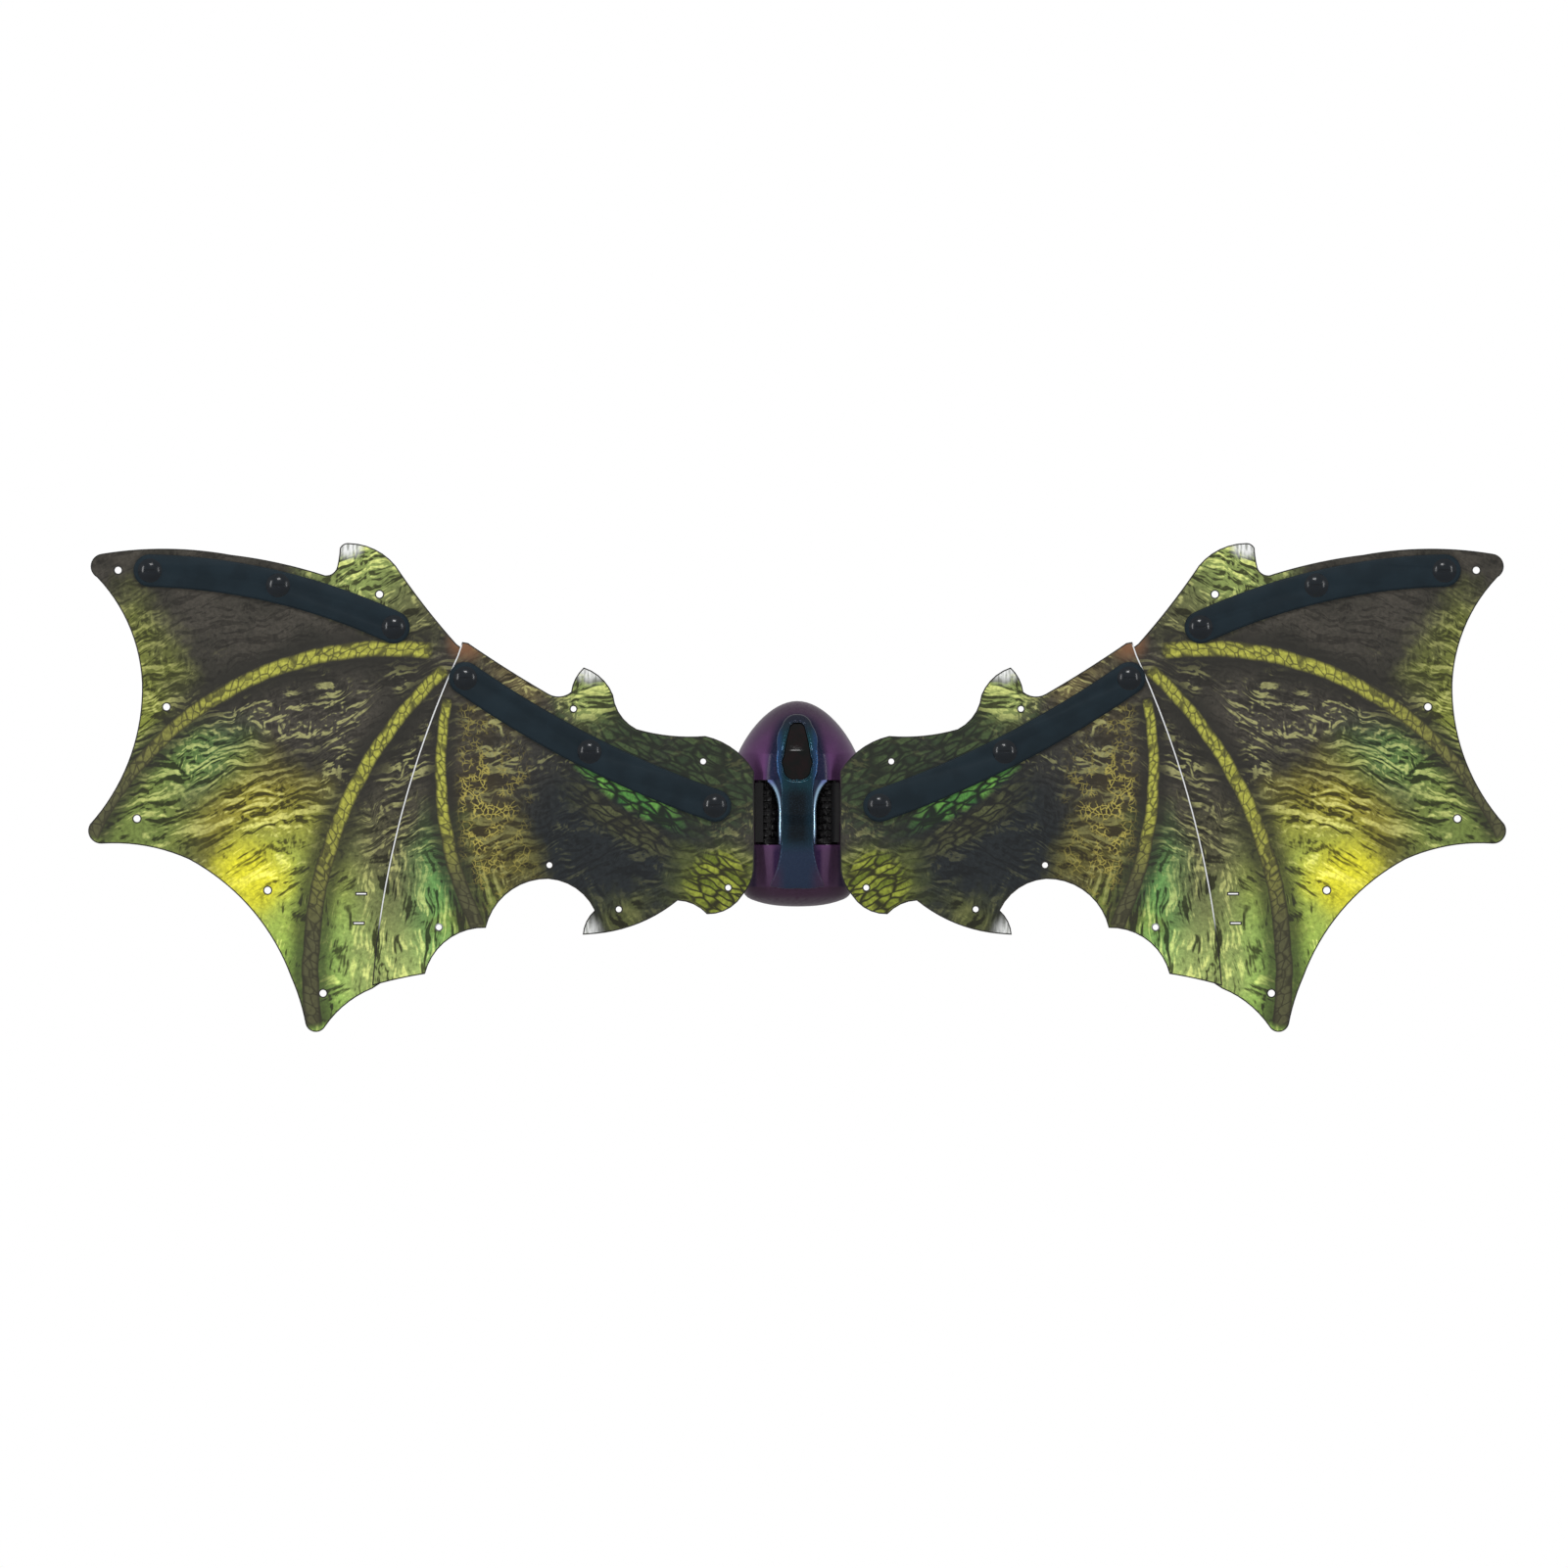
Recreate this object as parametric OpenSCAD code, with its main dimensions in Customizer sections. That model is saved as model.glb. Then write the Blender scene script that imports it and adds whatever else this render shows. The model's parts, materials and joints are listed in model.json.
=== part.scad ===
// Motorised pair of membrane wings on an egg-shaped drive pack.
// Frame: +X to the viewer's right of the spread wings, +Z up, the front faces -Y.
// The origin is the centre of the pack's flat back face, at half the pack's height.

/* [Pack] */
// Largest radius of the egg-shaped pack
pack_r = 40.2; // [38:0.1:48]
// Height of the pack above the origin
pack_top = 66; // [60:0.5:80]
// Depth of the pack below the origin
pack_bottom = 66.2; // [60:0.1:80]
// Distance from the back face to the egg's axis, where the two shells part
axis_depth = 8; // [6:0.5:12]
// Wall of the two shells
wall = 2.2; // [1.6:0.1:2.6]
// How far the spine cover stands off the front shell
spine_t = 3; // [2:0.1:4]

/* [Hinge] */
// Depth of the hinge axes behind which the drive sits, from the back face
hinge_depth = 29; // [28:0.5:30]
// Lower end of the hinge barrel
barrel_z0 = -26.2; // [-30:0.1:-20]
// Upper end of the hinge barrel
barrel_z1 = 14.8; // [10:0.1:15]
// Radius of the hinge barrel over its ribs
barrel_r = 7.2; // [6:0.1:7.4]
// Number of ribs on the barrel
barrel_ribs = 9; // [5:1:12]
// Diameter of the steel hinge pins
hinge_pin_d = 3; // [2:0.1:4]

/* [Wings] */
// Depth of the inner sheet's front face from the back face
sheet_depth = 45; // [45:0.5:50]
// Thickness of the printed sheets
sheet_t = 1.2; // [0.6:0.1:1.6]
// Running gap between layers that turn on each other
layer_gap = 0.3; // [0.2:0.05:0.6]
// Width of the front bars
bar_w = 21; // [16:0.5:24]
// Thickness of the front bars
bar_t = 2.5; // [2:0.1:4]
// Width of the rear arms
arm_w = 15; // [12:0.5:18]
// Thickness of the rear arms
arm_t = 2.5; // [2:0.1:3]
// Diameter of the rivet heads
rivet_d = 15.5; // [12:0.5:18]
// Diameter of the rivet shanks
shank_d = 4; // [3:0.1:5]
// Diameter of the boss on which the outer panel turns
pivot_d = 10; // [8:0.5:12]
// Diameter of the tie holes in the outer panels
outer_hole_d = 4.4; // [3:0.1:6]
// Diameter of the tie holes in the inner panels
inner_hole_d = 3.6; // [3:0.1:5]

/* [Drive] */
// Module of the wing gears
wing_m = 0.9; // [0.8:0.05:1]
// Teeth of each wing gear and idler
wing_teeth = 14; // [12:2:16]
// Module of the reduction gears
red_m = 0.5; // [0.4:0.05:0.5]
// Teeth of the pinions
pinion_teeth = 9; // [9:1:12]
// Teeth of the first large gear
first_teeth = 27; // [24:1:30]
// Teeth of the other large gears
large_teeth = 30; // [26:1:30]
// Diameter of the gear axles
axle_d = 2; // [1.5:0.1:2.5]
// Diameter of the motor can
motor_d = 20; // [18:0.5:20.4]
// Width of the motor can over its flats
motor_flat = 15.1; // [14:0.1:15.4]
// Length of the motor can
motor_len = 25; // [20:0.5:28]

/* [Power] */
// Diameter of a cell
cell_d = 14.5; // [10.5:0.1:14.5]
// Length of a cell with its nub
cell_len = 50.5; // [44.5:0.1:50.5]
// Number of cells
cells = 3; // [2:1:3]
// Travel of the power switch
switch_travel = 4; // [2:0.5:5]
// Diameter of the strap bars
strap_bar_d = 4; // [3:0.5:5]

/* [Hidden] */

$fn = 48;
eps = 0.02;          // overlap that a cut takes beyond the face it opens
seat = 0.05;         // gap at a seat of two fixed pieces
run = 0.05;          // radial clearance of a turning fit
slip = 0.2;          // gap round a piece that drops into its place

// ---- curves -------------------------------------------------------------

// A row of an outline is a corner [u, z] and the bow of the edge that leaves it.
// A positive bow stands to the left of the edge's direction.
function bow_arc(a, b, bow) =
    let (chord = norm(b - a), left = [a[1] - b[1], b[0] - a[0]] / chord)
    abs(bow) < 0.2 ? [a] :
    let (
        r = (chord * chord / 4 + bow * bow) / (2 * abs(bow)),
        side = bow > 0 ? 1 : -1,
        centre = (a + b) / 2 - left * side * (r - abs(bow)),
        from = atan2(a[1] - centre[1], a[0] - centre[0]),
        sweep = -side * 2 * asin(min(1, chord / 2 / r)),
        n = max(2, ceil(chord / 6), ceil(abs(sweep) / 12))
    )
    [for (i = [0:n - 1]) centre + r * [cos(from + sweep * i / n), sin(from + sweep * i / n)]];

function outline(rows) = [
    for (i = [0:len(rows) - 1])
        let (a = rows[i], b = rows[(i + 1) % len(rows)])
        each bow_arc([a[0], a[1]], [b[0], b[1]], a[2])
];

function bezier(p, t) =
    pow(1 - t, 3) * p[0] + 3 * pow(1 - t, 2) * t * p[1] + 3 * (1 - t) * t * t * p[2] + pow(t, 3) * p[3];

function bezier_run(p, n) = [for (i = [0:n - 1]) bezier(p, i / n)];

// A bar of width w with round ends, its centreline bowed to pass near its middle rivet.
function bar_outline(a, b, bow, w) =
    let (
        line = concat(bow_arc(a, b, bow), [b]),
        n = len(line),
        dir = [for (i = [0:n - 1]) let (d = line[min(i + 1, n - 1)] - line[max(i - 1, 0)]) d / norm(d)],
        start = atan2(dir[0][1], dir[0][0]),
        finish = atan2(dir[n - 1][1], dir[n - 1][0])
    )
    concat(
        [for (i = [0:n - 1]) line[i] + w / 2 * [-dir[i][1], dir[i][0]]],
        [for (t = [80:-10:-80]) b + w / 2 * [cos(finish + t), sin(finish + t)]],
        [for (i = [n - 1:-1:0]) line[i] - w / 2 * [-dir[i][1], dir[i][0]]],
        [for (t = [-100:-10:-260]) a + w / 2 * [cos(start + t), sin(start + t)]]
    );

// ---- pack shape ---------------------------------------------------------

pack_shoulder = pack_top / 2;
side_low = -0.808 * pack_bottom;
foot_r = 0.896 * pack_r;

// Half outline of the egg, [radius, height], from its top to its foot.
egg_half = concat(
    bezier_run([[0, pack_top], [0.373 * pack_r, pack_top],
        [0.746 * pack_r, 0.758 * pack_top], [0.94 * pack_r, pack_shoulder]], 14),
    bezier_run([[0.94 * pack_r, pack_shoulder], [0.985 * pack_r, 0.38 * pack_top],
        [pack_r, 0.2 * pack_top], [pack_r, 0]], 8),
    bezier_run([[pack_r, 0], [pack_r, side_low / 3], [0.97 * pack_r, side_low * 0.7],
        [foot_r, side_low]], 8),
    bezier_run([[foot_r, side_low], [0.86 * pack_r, -0.88 * pack_bottom],
        [0.82 * pack_r, -0.91 * pack_bottom], [0.74 * pack_r, -0.93 * pack_bottom]], 4),
    bezier_run([[0.74 * pack_r, -0.93 * pack_bottom], [0.5 * pack_r, -0.99 * pack_bottom],
        [0.25 * pack_r, -pack_bottom], [0, -pack_bottom]], 7),
    [[0, -pack_bottom]]
);

// The egg grown by g (shrunk where g is negative), about its own vertical axis.
// Its profile starts at the angle start, which is kept away from what is cut there.
module egg(g = 0, start = 0) {
    rows = [for (p = egg_half)
        [max(0, p[0] * (pack_r + g) / pack_r), p[1] * (pack_top + g) / pack_top]];
    translate([0, -axis_depth, 0]) rotate([0, 0, start]) rotate_extrude($fn = 96) polygon(rows);
}

// A box from corner to corner.
module block(lo, hi) {
    translate(lo) cube(hi - lo);
}

// A cylinder along +Y from depth y0 to y1, at [x, z].
module y_rod(x, z, y0, y1, r) {
    translate([x, y0, z]) rotate([-90, 0, 0]) cylinder(h = y1 - y0, r = r);
}

// ---- drive layout -------------------------------------------------------

wing_r = wing_m * wing_teeth / 2;
hinge_x = 3 * wing_r;
hinge_y = -hinge_depth;
pin_r = hinge_pin_d / 2;
axle_r = axle_d / 2;
motor_y = hinge_y - 4;

ceiling_t = 2;
pocket_gap = 0.4;
pocket_x = hinge_x - barrel_r - 1.1;      // inner side of the hinge pocket
pocket_wall = pocket_x - motor_flat / 2 - 0.45;
pocket_y = hinge_y + barrel_r + 0.6;      // back of the hinge pocket
pocket_z0 = barrel_z0 - pocket_gap;
pocket_z1 = barrel_z1 + pocket_gap;

frame_z0 = pocket_z1 + ceiling_t + 0.1;
frame_t = 1.5;
level_gap = 0.4;
first_z = frame_z0 + frame_t + level_gap;     // motor pinion and first large gear
second_z = first_z + 2 + level_gap;           // first pinion and second large gear
third_z = second_z + 2 + level_gap;           // second pinion and the idler's large gear
wing_z = third_z + 2.4 + 0.6;                 // wing gears and idlers
wing_face = 3.6;
top_z = wing_z + wing_face + 0.6;             // top plate

reach_first = red_m * (pinion_teeth + first_teeth) / 2;
reach_large = red_m * (pinion_teeth + large_teeth) / 2;

idler_at = [wing_r, hinge_y];
second_dir = 110;
second_at = idler_at + reach_large * [cos(second_dir), sin(second_dir)];
motor_at = [0, motor_y];

// Where circles of radius ra about a and rb about b meet, on the left of a to b.
function meet(a, ra, b, rb) =
    let (d = norm(b - a), along = (ra * ra - rb * rb + d * d) / (2 * d),
        across = sqrt(ra * ra - along * along), u = (b - a) / d)
    a + along * u + across * [-u[1], u[0]];

first_at = meet(motor_at, reach_first, second_at, reach_large);

function heading(a, b) = atan2(b[1] - a[1], b[0] - a[0]);

// Turn that makes gear 2 mesh with gear 1, whose tooth stands at angle turn1.
function mesh_turn(n1, turn1, n2, dir) =
    dir + 180 - 360 / n2 * (0.5 + (turn1 - dir) * n1 / 360);

// ---- gears --------------------------------------------------------------

pressure = 25;
addendum = 0.8;
dedendum = 1;
thinning = 0.035;    // taken off each flank so that the teeth run free

function inv(a) = tan(a) * 180 / PI - a;

function gear_points(m, n, turn) =
    let (
        r = m * n / 2,
        base = r * cos(pressure),
        root = r - dedendum * m,
        low = max(base, root),
        tip = r + addendum * m,
        half = 90 / n - thinning / r * 180 / PI + inv(pressure),
        steps = 4
    )
    [for (k = [0:n - 1])
        let (at = turn + 360 / n * k)
        each concat(
            root < base ? [root * [cos(at - half), sin(at - half)]] : [],
            [for (i = [0:steps])
                let (q = low + (tip - low) * i / steps, w = half - inv(acos(min(1, base / q))))
                q * [cos(at - w), sin(at - w)]],
            [for (i = [steps:-1:0])
                let (q = low + (tip - low) * i / steps, w = half - inv(acos(min(1, base / q))))
                q * [cos(at + w), sin(at + w)]],
            root < base ? [root * [cos(at + half), sin(at + half)]] : []
        )
    ];

module gear(m, n, face, turn) {
    linear_extrude(face) polygon(gear_points(m, n, turn));
}

motor_turn = 0;
first_turn = mesh_turn(pinion_teeth, motor_turn, first_teeth, heading(motor_at, first_at));
second_turn = mesh_turn(pinion_teeth, 0, large_teeth, heading(first_at, second_at));
idler_turn = mesh_turn(pinion_teeth, 0, large_teeth, heading(second_at, idler_at));
half_tooth = 180 / wing_teeth;

shaft_end = first_z + 2;

module motor_pinion() {
    translate([motor_at[0], motor_at[1], 0]) {
        color("silver") translate([0, 0, motor_z0 + 3])
            cylinder(h = shaft_end - motor_z0 - 3, r = axle_r);
        color("gold") translate([0, 0, first_z]) gear(red_m, pinion_teeth, 2, motor_turn);
    }
}

module cluster(at, z, large, large_turn, pinion_h) {
    translate([at[0], at[1], z]) difference() {
        union() {
            gear(red_m, large, 2, large_turn);
            translate([0, 0, 2 - eps]) cylinder(h = level_gap + 2 * eps, r = axle_r + 0.7);
            translate([0, 0, 2 + level_gap]) gear(red_m, pinion_teeth, pinion_h, 0);
        }
        translate([0, 0, -1]) cylinder(h = pinion_h + 6, r = cluster_bore);
    }
}

cluster_axle_d = 1.5;                       // pinions this small turn on thin axles
cluster_bore = cluster_axle_d / 2 + run;

module first_cluster() {
    color("ivory") cluster(first_at, first_z, first_teeth, first_turn, 2);
}

module second_cluster() {
    color("white") cluster(second_at, second_z, large_teeth, second_turn, 2.4);
}

module right_idler() {
    color("ivory") translate([idler_at[0], idler_at[1], 0]) difference() {
        union() {
            translate([0, 0, third_z]) gear(red_m, large_teeth, 2.4, idler_turn);
            translate([0, 0, third_z + 2.4 - eps]) cylinder(h = 0.6 + 2 * eps, r = 3);
            translate([0, 0, wing_z]) gear(wing_m, wing_teeth, wing_face, half_tooth);
        }
        translate([0, 0, third_z - 1]) cylinder(h = wing_face + 6, r = axle_r + run);
    }
}

left_idler_z0 = third_z + 0.4;

module left_idler() {
    color("ivory") translate([-idler_at[0], idler_at[1], 0]) difference() {
        union() {
            translate([0, 0, wing_z]) gear(wing_m, wing_teeth, wing_face, 0);
            translate([0, 0, left_idler_z0]) cylinder(h = wing_z - left_idler_z0 + eps, r = 3);
        }
        translate([0, 0, third_z - 1]) cylinder(h = wing_face + 6, r = axle_r + run);
    }
}

// ---- gearbox ------------------------------------------------------------

frame_x = 14;
frame_y0 = hinge_y - 11;
frame_y1 = hinge_y + 16;
post_x = 12.5;
post_r = 1.8;
post_ys = [frame_y0 + 1.9, frame_y1 - 1.9];
boss_r = 3.05;       // bearing boss of the motor
top_t = 1.6;
plate_reach = hinge_x + 3.5;

module gearbox_frame() {
    color("dimgray") difference() {
        union() {
            block([-frame_x, frame_y0, frame_z0], [frame_x, frame_y1, frame_z0 + frame_t]);
            for (x = [-post_x, post_x], y = post_ys)
                translate([x, y, frame_z0]) cylinder(h = top_z - frame_z0, r = post_r);
        }
        translate([motor_at[0], motor_at[1], frame_z0 - 1]) cylinder(h = 5, r = boss_r + 0.1);
        for (p = [first_at, second_at])
            translate([p[0], p[1], frame_z0 - 1]) cylinder(h = 5, r = cluster_axle_d / 2 + eps);
        translate([idler_at[0], idler_at[1], frame_z0 - 1]) cylinder(h = 5, r = axle_r + eps);
    }
}

module gearbox_top_plate() {
    color("dimgray") difference() {
        union() {
            block([-frame_x, frame_y0, top_z], [frame_x, frame_y1, top_z + top_t]);
            block([-plate_reach, hinge_y - 3.5, top_z], [plate_reach, hinge_y + 3.5, top_z + top_t]);
        }
        for (x = [-1, 1]) {
            translate([x * idler_at[0], idler_at[1], top_z - 1]) cylinder(h = 5, r = axle_r + eps);
            translate([x * hinge_x, hinge_y, top_z - 1]) cylinder(h = 5, r = pin_r + eps);
        }
        translate([second_at[0], second_at[1], top_z - 1]) cylinder(h = 5, r = cluster_axle_d / 2 + eps);
    }
}

module gear_axles() {
    color("silver") {
        for (x = [-1, 1]) translate([x * idler_at[0], idler_at[1], x > 0 ? frame_z0 : left_idler_z0])
            cylinder(h = top_z + top_t - (x > 0 ? frame_z0 : left_idler_z0), r = axle_r);
        translate([second_at[0], second_at[1], frame_z0])
            cylinder(h = top_z + top_t - frame_z0, r = cluster_axle_d / 2);
        translate([first_at[0], first_at[1], frame_z0])
            cylinder(h = third_z - 0.1 - frame_z0, r = cluster_axle_d / 2);
    }
}

motor_top = frame_z0 - 0.5;
motor_z0 = motor_top - motor_len;

module motor_can() {
    color("silver") translate([motor_at[0], motor_at[1], 0]) difference() {
        union() {
            intersection() {
                translate([0, 0, motor_z0]) cylinder(h = motor_len, r = motor_d / 2);
                block([-motor_flat / 2, -motor_d, motor_z0], [motor_flat / 2, motor_d, motor_top]);
            }
            translate([0, 0, motor_top - eps]) cylinder(h = 1.6, r = boss_r);
            translate([0, 0, motor_z0 - 1.5]) cylinder(h = 2, r = boss_r);
        }
        translate([0, 0, motor_z0 + 2]) cylinder(h = motor_len + 10, r = axle_r + run);
    }
}

// ---- hinge --------------------------------------------------------------

pin_z0 = pocket_z0 - ceiling_t - 2.4;
lug_r = 4.5;
hub_r = 4.2;
leaf_x0 = hinge_x + 3;
leaf_x1 = 27.2;
rib_pitch = (barrel_z1 - barrel_z0) / barrel_ribs;
rib_groove = 1;

module hinge_pin(side) {
    color("silver") translate([side * hinge_x, hinge_y, pin_z0])
        cylinder(h = top_z + top_t + 0.4 - pin_z0, r = pin_r);
}

module right_hinge_pin() { hinge_pin(1); }
module left_hinge_pin() { hinge_pin(-1); }

// Half section of the ribbed barrel, turned about the pin.
function barrel_section() = concat(
    [[0, barrel_z0]],
    [for (i = [0:barrel_ribs - 1]) let (z = barrel_z0 + i * rib_pitch) each [
        [barrel_r - rib_groove, z], [barrel_r, z + 0.5],
        [barrel_r, z + rib_pitch - 1.6], [barrel_r - rib_groove, z + rib_pitch - 1.1]
    ]],
    [[barrel_r - rib_groove, barrel_z1], [0, barrel_z1]]
);

// ---- wings --------------------------------------------------------------

wrist = [213.6, 80.6];
inner_mid = [133.6, 33.4];
inner_root = [52.9, -1.3];
outer_root = [259.6, 113.4];
outer_mid = [334, 140.4];
outer_tip = [416.4, 149.9];
inner_bow = -6.2;
outer_bow = 8.3;

// Corners of the inner panel, from the wrist along the leading edge to the root and back.
inner_rows = [
    [215.5, 104, 0], [211.7, 103.3, 0.6],
    [160, 70.6, 2.3], [145.5, 71.8, -1.6],
    [137.3, 87.6, -2.9], [118.4, 69.9, 3.4],
    [103.3, 47.9, 2], [59.2, 43.5, -4],
    [27.7, 20.8, 0], [27.7, -42.2, -1.5],
    [35.3, -59.2, -3.4], [58, -71.2, 2.1],
    [76.9, -62.4, -4.3], [129.8, -83.8, 0],
    [138, -84.4, -1.7], [130.4, -68.7, 4.9],
    [160, -48.5, 9.1], [200.3, -80, 8.7],
    [239.4, -109.6, 0.6], [273.4, -117.2, -9.7],
    [218.6, 95.1, 0]
];

// Corners of the outer panel, from the wrist notch round the tip to the edge
// that hides behind the inner panel.
outer_rows = [
    [219.2, 102.7, -1.1], [258.3, 153.1, 3.7],
    [288.5, 167.6, 1], [294.2, 164.4, -0.3],
    [296.1, 151.8, -1.6], [303.7, 146.8, 1.5],
    [364.1, 160, 3.6], [447.3, 160.7, 5.6],
    [450.4, 145.5, -6.7], [421.5, 77.5, -9.2],
    [454.9, -13.2, 4.4], [447.3, -25.8, -3.5],
    [391.2, -35.9, -9.2], [325.7, -111.5, -0.9],
    [316.3, -141.8, 4.2], [303.7, -143.6, -2.9],
    [273.4, -119.1, 0], [264.6, -113.4, 8],
    [228.1, 58.6, 0], [216.7, 66.8, 10.7],
    [205.4, 92.6, 0]
];

inner_holes = [[230.5, -79.6], [159.4, -39.6], [143.9, 60.9], [114.8, -68], [60.5, 27.1], [44.4, -54.1]];
outer_holes = [[436.8, 150.1], [268.7, 134.6], [405.7, 62.2], [424.7, -9.7], [340.6, -55.8], [305, -122]];
slits = [[280.4, -58], [282, -76.9]];
slit_w = 6.3;
slit_h = 0.8;

// Layers of a wing, front to back.
inner_front = -sheet_depth;
inner_back = inner_front + sheet_t;
outer_front = inner_back + layer_gap;
outer_back = outer_front + sheet_t;
outer_arm_back = outer_back + arm_t;
inner_arm_front = outer_arm_back + layer_gap;
inner_arm_back = inner_arm_front + arm_t + 0.5;

// A flat plate between two depths, its outline given in the wing's plane.
module plate(points, y0, y1) {
    translate([0, y1, 0]) rotate([90, 0, 0]) linear_extrude(y1 - y0) polygon(points);
}

module hole(at, r) {
    y_rod(at[0], at[1], inner_front - 10, inner_arm_back + 10, r);
}

module side_of(side) {
    if (side > 0) children();
    else mirror([1, 0, 0]) children();
}

inner_rivets = [inner_root, inner_mid, wrist];
outer_rivets = [outer_root, outer_mid, outer_tip];
shank_r = shank_d / 2;

module inner_sheet(side) {
    color("olivedrab") side_of(side) difference() {
        plate(outline(inner_rows), inner_front, inner_back);
        for (p = inner_rivets) hole(p, shank_r + eps);
        for (p = inner_holes) hole(p, inner_hole_d / 2);
    }
}

module outer_sheet(side) {
    color("yellowgreen") side_of(side) difference() {
        plate(outline(outer_rows), outer_front, outer_back);
        hole(wrist, pivot_d / 2 + run);
        for (p = outer_rivets) hole(p, shank_r + eps);
        for (p = outer_holes) hole(p, outer_hole_d / 2);
        for (p = slits)
            block([p[0] - slit_w / 2, outer_front - 1, p[1] - slit_h / 2],
                [p[0] + slit_w / 2, outer_back + 1, p[1] + slit_h / 2]);
    }
}

bar_step = 0.8;      // height and width of the step along a bar's edge

module front_bar(a, b, bow, rivets, y1) {
    difference() {
        union() {
            plate(bar_outline(a, b, bow, bar_w), y1 - bar_t + bar_step, y1);
            plate(bar_outline(a, b, bow, bar_w - 2 * bar_step), y1 - bar_t, y1 - bar_t + bar_step + eps);
        }
        for (p = rivets) hole(p, shank_r + eps);
    }
}

module inner_bar(side) {
    color("darkslategray") side_of(side)
        front_bar(inner_root, wrist, inner_bow, inner_rivets, inner_front);
}

module outer_bar(side) {
    color("darkslategray") side_of(side)
        front_bar(outer_root, outer_tip, outer_bow, outer_rivets, outer_front);
}

rivet_h = 3.2;
slot_w = 1.6;

module rivet(at, y_face, y_end) {
    ball = (rivet_d * rivet_d / 4 + rivet_h * rivet_h) / (2 * rivet_h);
    difference() {
        intersection() {
            translate([at[0], y_face - rivet_h + ball, at[1]]) sphere(r = ball, $fn = 72);
            y_rod(at[0], at[1], y_face - rivet_h - 1, y_face, rivet_d / 2);
        }
        translate([at[0] - rivet_d / 4, y_face - rivet_h - 1, at[1] - slot_w / 2])
            cube([rivet_d / 2, 1.8, slot_w]);
    }
    y_rod(at[0], at[1], y_face - eps, y_end, shank_r);
}

cap_r = 4.5;
cap_t = 1.4;

module cap(at, y0) {
    difference() {
        y_rod(at[0], at[1], y0, y0 + cap_t, cap_r);
        y_rod(at[0], at[1], y0 - 1, y0 + cap_t + 1, shank_r + eps);
    }
}

module inner_rivet_set(side) {
    color("#101c24") side_of(side) for (p = inner_rivets)
        rivet(p, inner_front - bar_t, inner_arm_back + cap_t);
}

module outer_rivet_set(side) {
    color("#101c24") side_of(side) for (p = outer_rivets)
        rivet(p, outer_front - bar_t, outer_arm_back + cap_t);
}

module inner_cap_set(side) {
    color("dimgray") side_of(side) for (p = inner_rivets) cap(p, inner_arm_back);
}

module outer_cap_set(side) {
    color("dimgray") side_of(side) for (p = outer_rivets) cap(p, outer_arm_back);
}

outer_arm_root = 21;      // width of the ring round the wrist boss

module outer_arm(side) {
    color("#1c2b33") side_of(side) difference() {
        union() {
            plate(bar_outline(outer_root, outer_tip, outer_bow, arm_w), outer_back, outer_arm_back);
            plate(bar_outline(wrist, outer_root, 0, arm_w), outer_back, outer_arm_back);
            y_rod(wrist[0], wrist[1], outer_back, outer_arm_back, outer_arm_root / 2);
        }
        hole(wrist, pivot_d / 2 + run);
        for (p = outer_rivets) hole(p, shank_r + eps);
    }
}

leaf_z0 = -12;
leaf_z1 = 9;

// The rear arm, its hinge barrel and its wing gear are one moulding.
module arm(side) {
    color("#12181c") difference() {
        union() {
            side_of(side) {
                plate(bar_outline(inner_root, wrist, inner_bow, arm_w), inner_arm_front, inner_arm_back);
                block([leaf_x0, inner_arm_front, leaf_z0], [inner_root[0], inner_arm_back, leaf_z1]);
                block([leaf_x0, inner_arm_front, barrel_z0 + 1.4], [leaf_x1, hinge_y, barrel_z1 - 1.4]);
                for (p = inner_rivets) y_rod(p[0], p[1], inner_back, inner_arm_front + eps, pivot_d / 2);
            }
            translate([side * hinge_x, hinge_y, 0]) {
                rotate_extrude() polygon(barrel_section());
                translate([0, 0, barrel_z1 - eps]) cylinder(h = wing_z - barrel_z1 + 2 * eps, r = hub_r);
                translate([0, 0, wing_z])
                    gear(wing_m, wing_teeth, wing_face, side > 0 ? 0 : half_tooth);
            }
        }
        translate([side * hinge_x, hinge_y, barrel_z0 - 1])
            cylinder(h = wing_z + wing_face - barrel_z0 + 2, r = pin_r + run);
        side_of(side) for (p = inner_rivets) hole(p, shank_r + eps);
    }
}

module right_arm() { arm(1); }
module left_arm() { arm(-1); }

// ---- shells -------------------------------------------------------------

screw_spots = [[33, 20], [-33, 20], [29.5, -38], [-29.5, -38], [0, 56]];
screw_r = 1.3;
screw_head_r = 2.6;
screw_head_h = 1.8;
screw_len = 14;
boss_wall_r = 3.3;
head_seat = -2.6;         // depth of the seat of a shell screw's head

back_t = 2.4;
seam = -axis_depth;

module each_screw() {
    for (p = screw_spots) translate([p[0], 0, p[1]]) children();
}

module pocket(g) {
    for (s = [-1, 1])
        block([min(s * (pocket_x - g[0]), s * 60), -80, pocket_z0 - g[2]],
            [max(s * (pocket_x - g[0]), s * 60), pocket_y + g[1], pocket_z1 + g[2]]);
}

led_at = [0, 38];
led_r = 2.5;
led_len = 5.1;
led_post_x = 4.4;
led_board_y = -35;
led_board_t = 1.2;
led_board = [12, 8];

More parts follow.
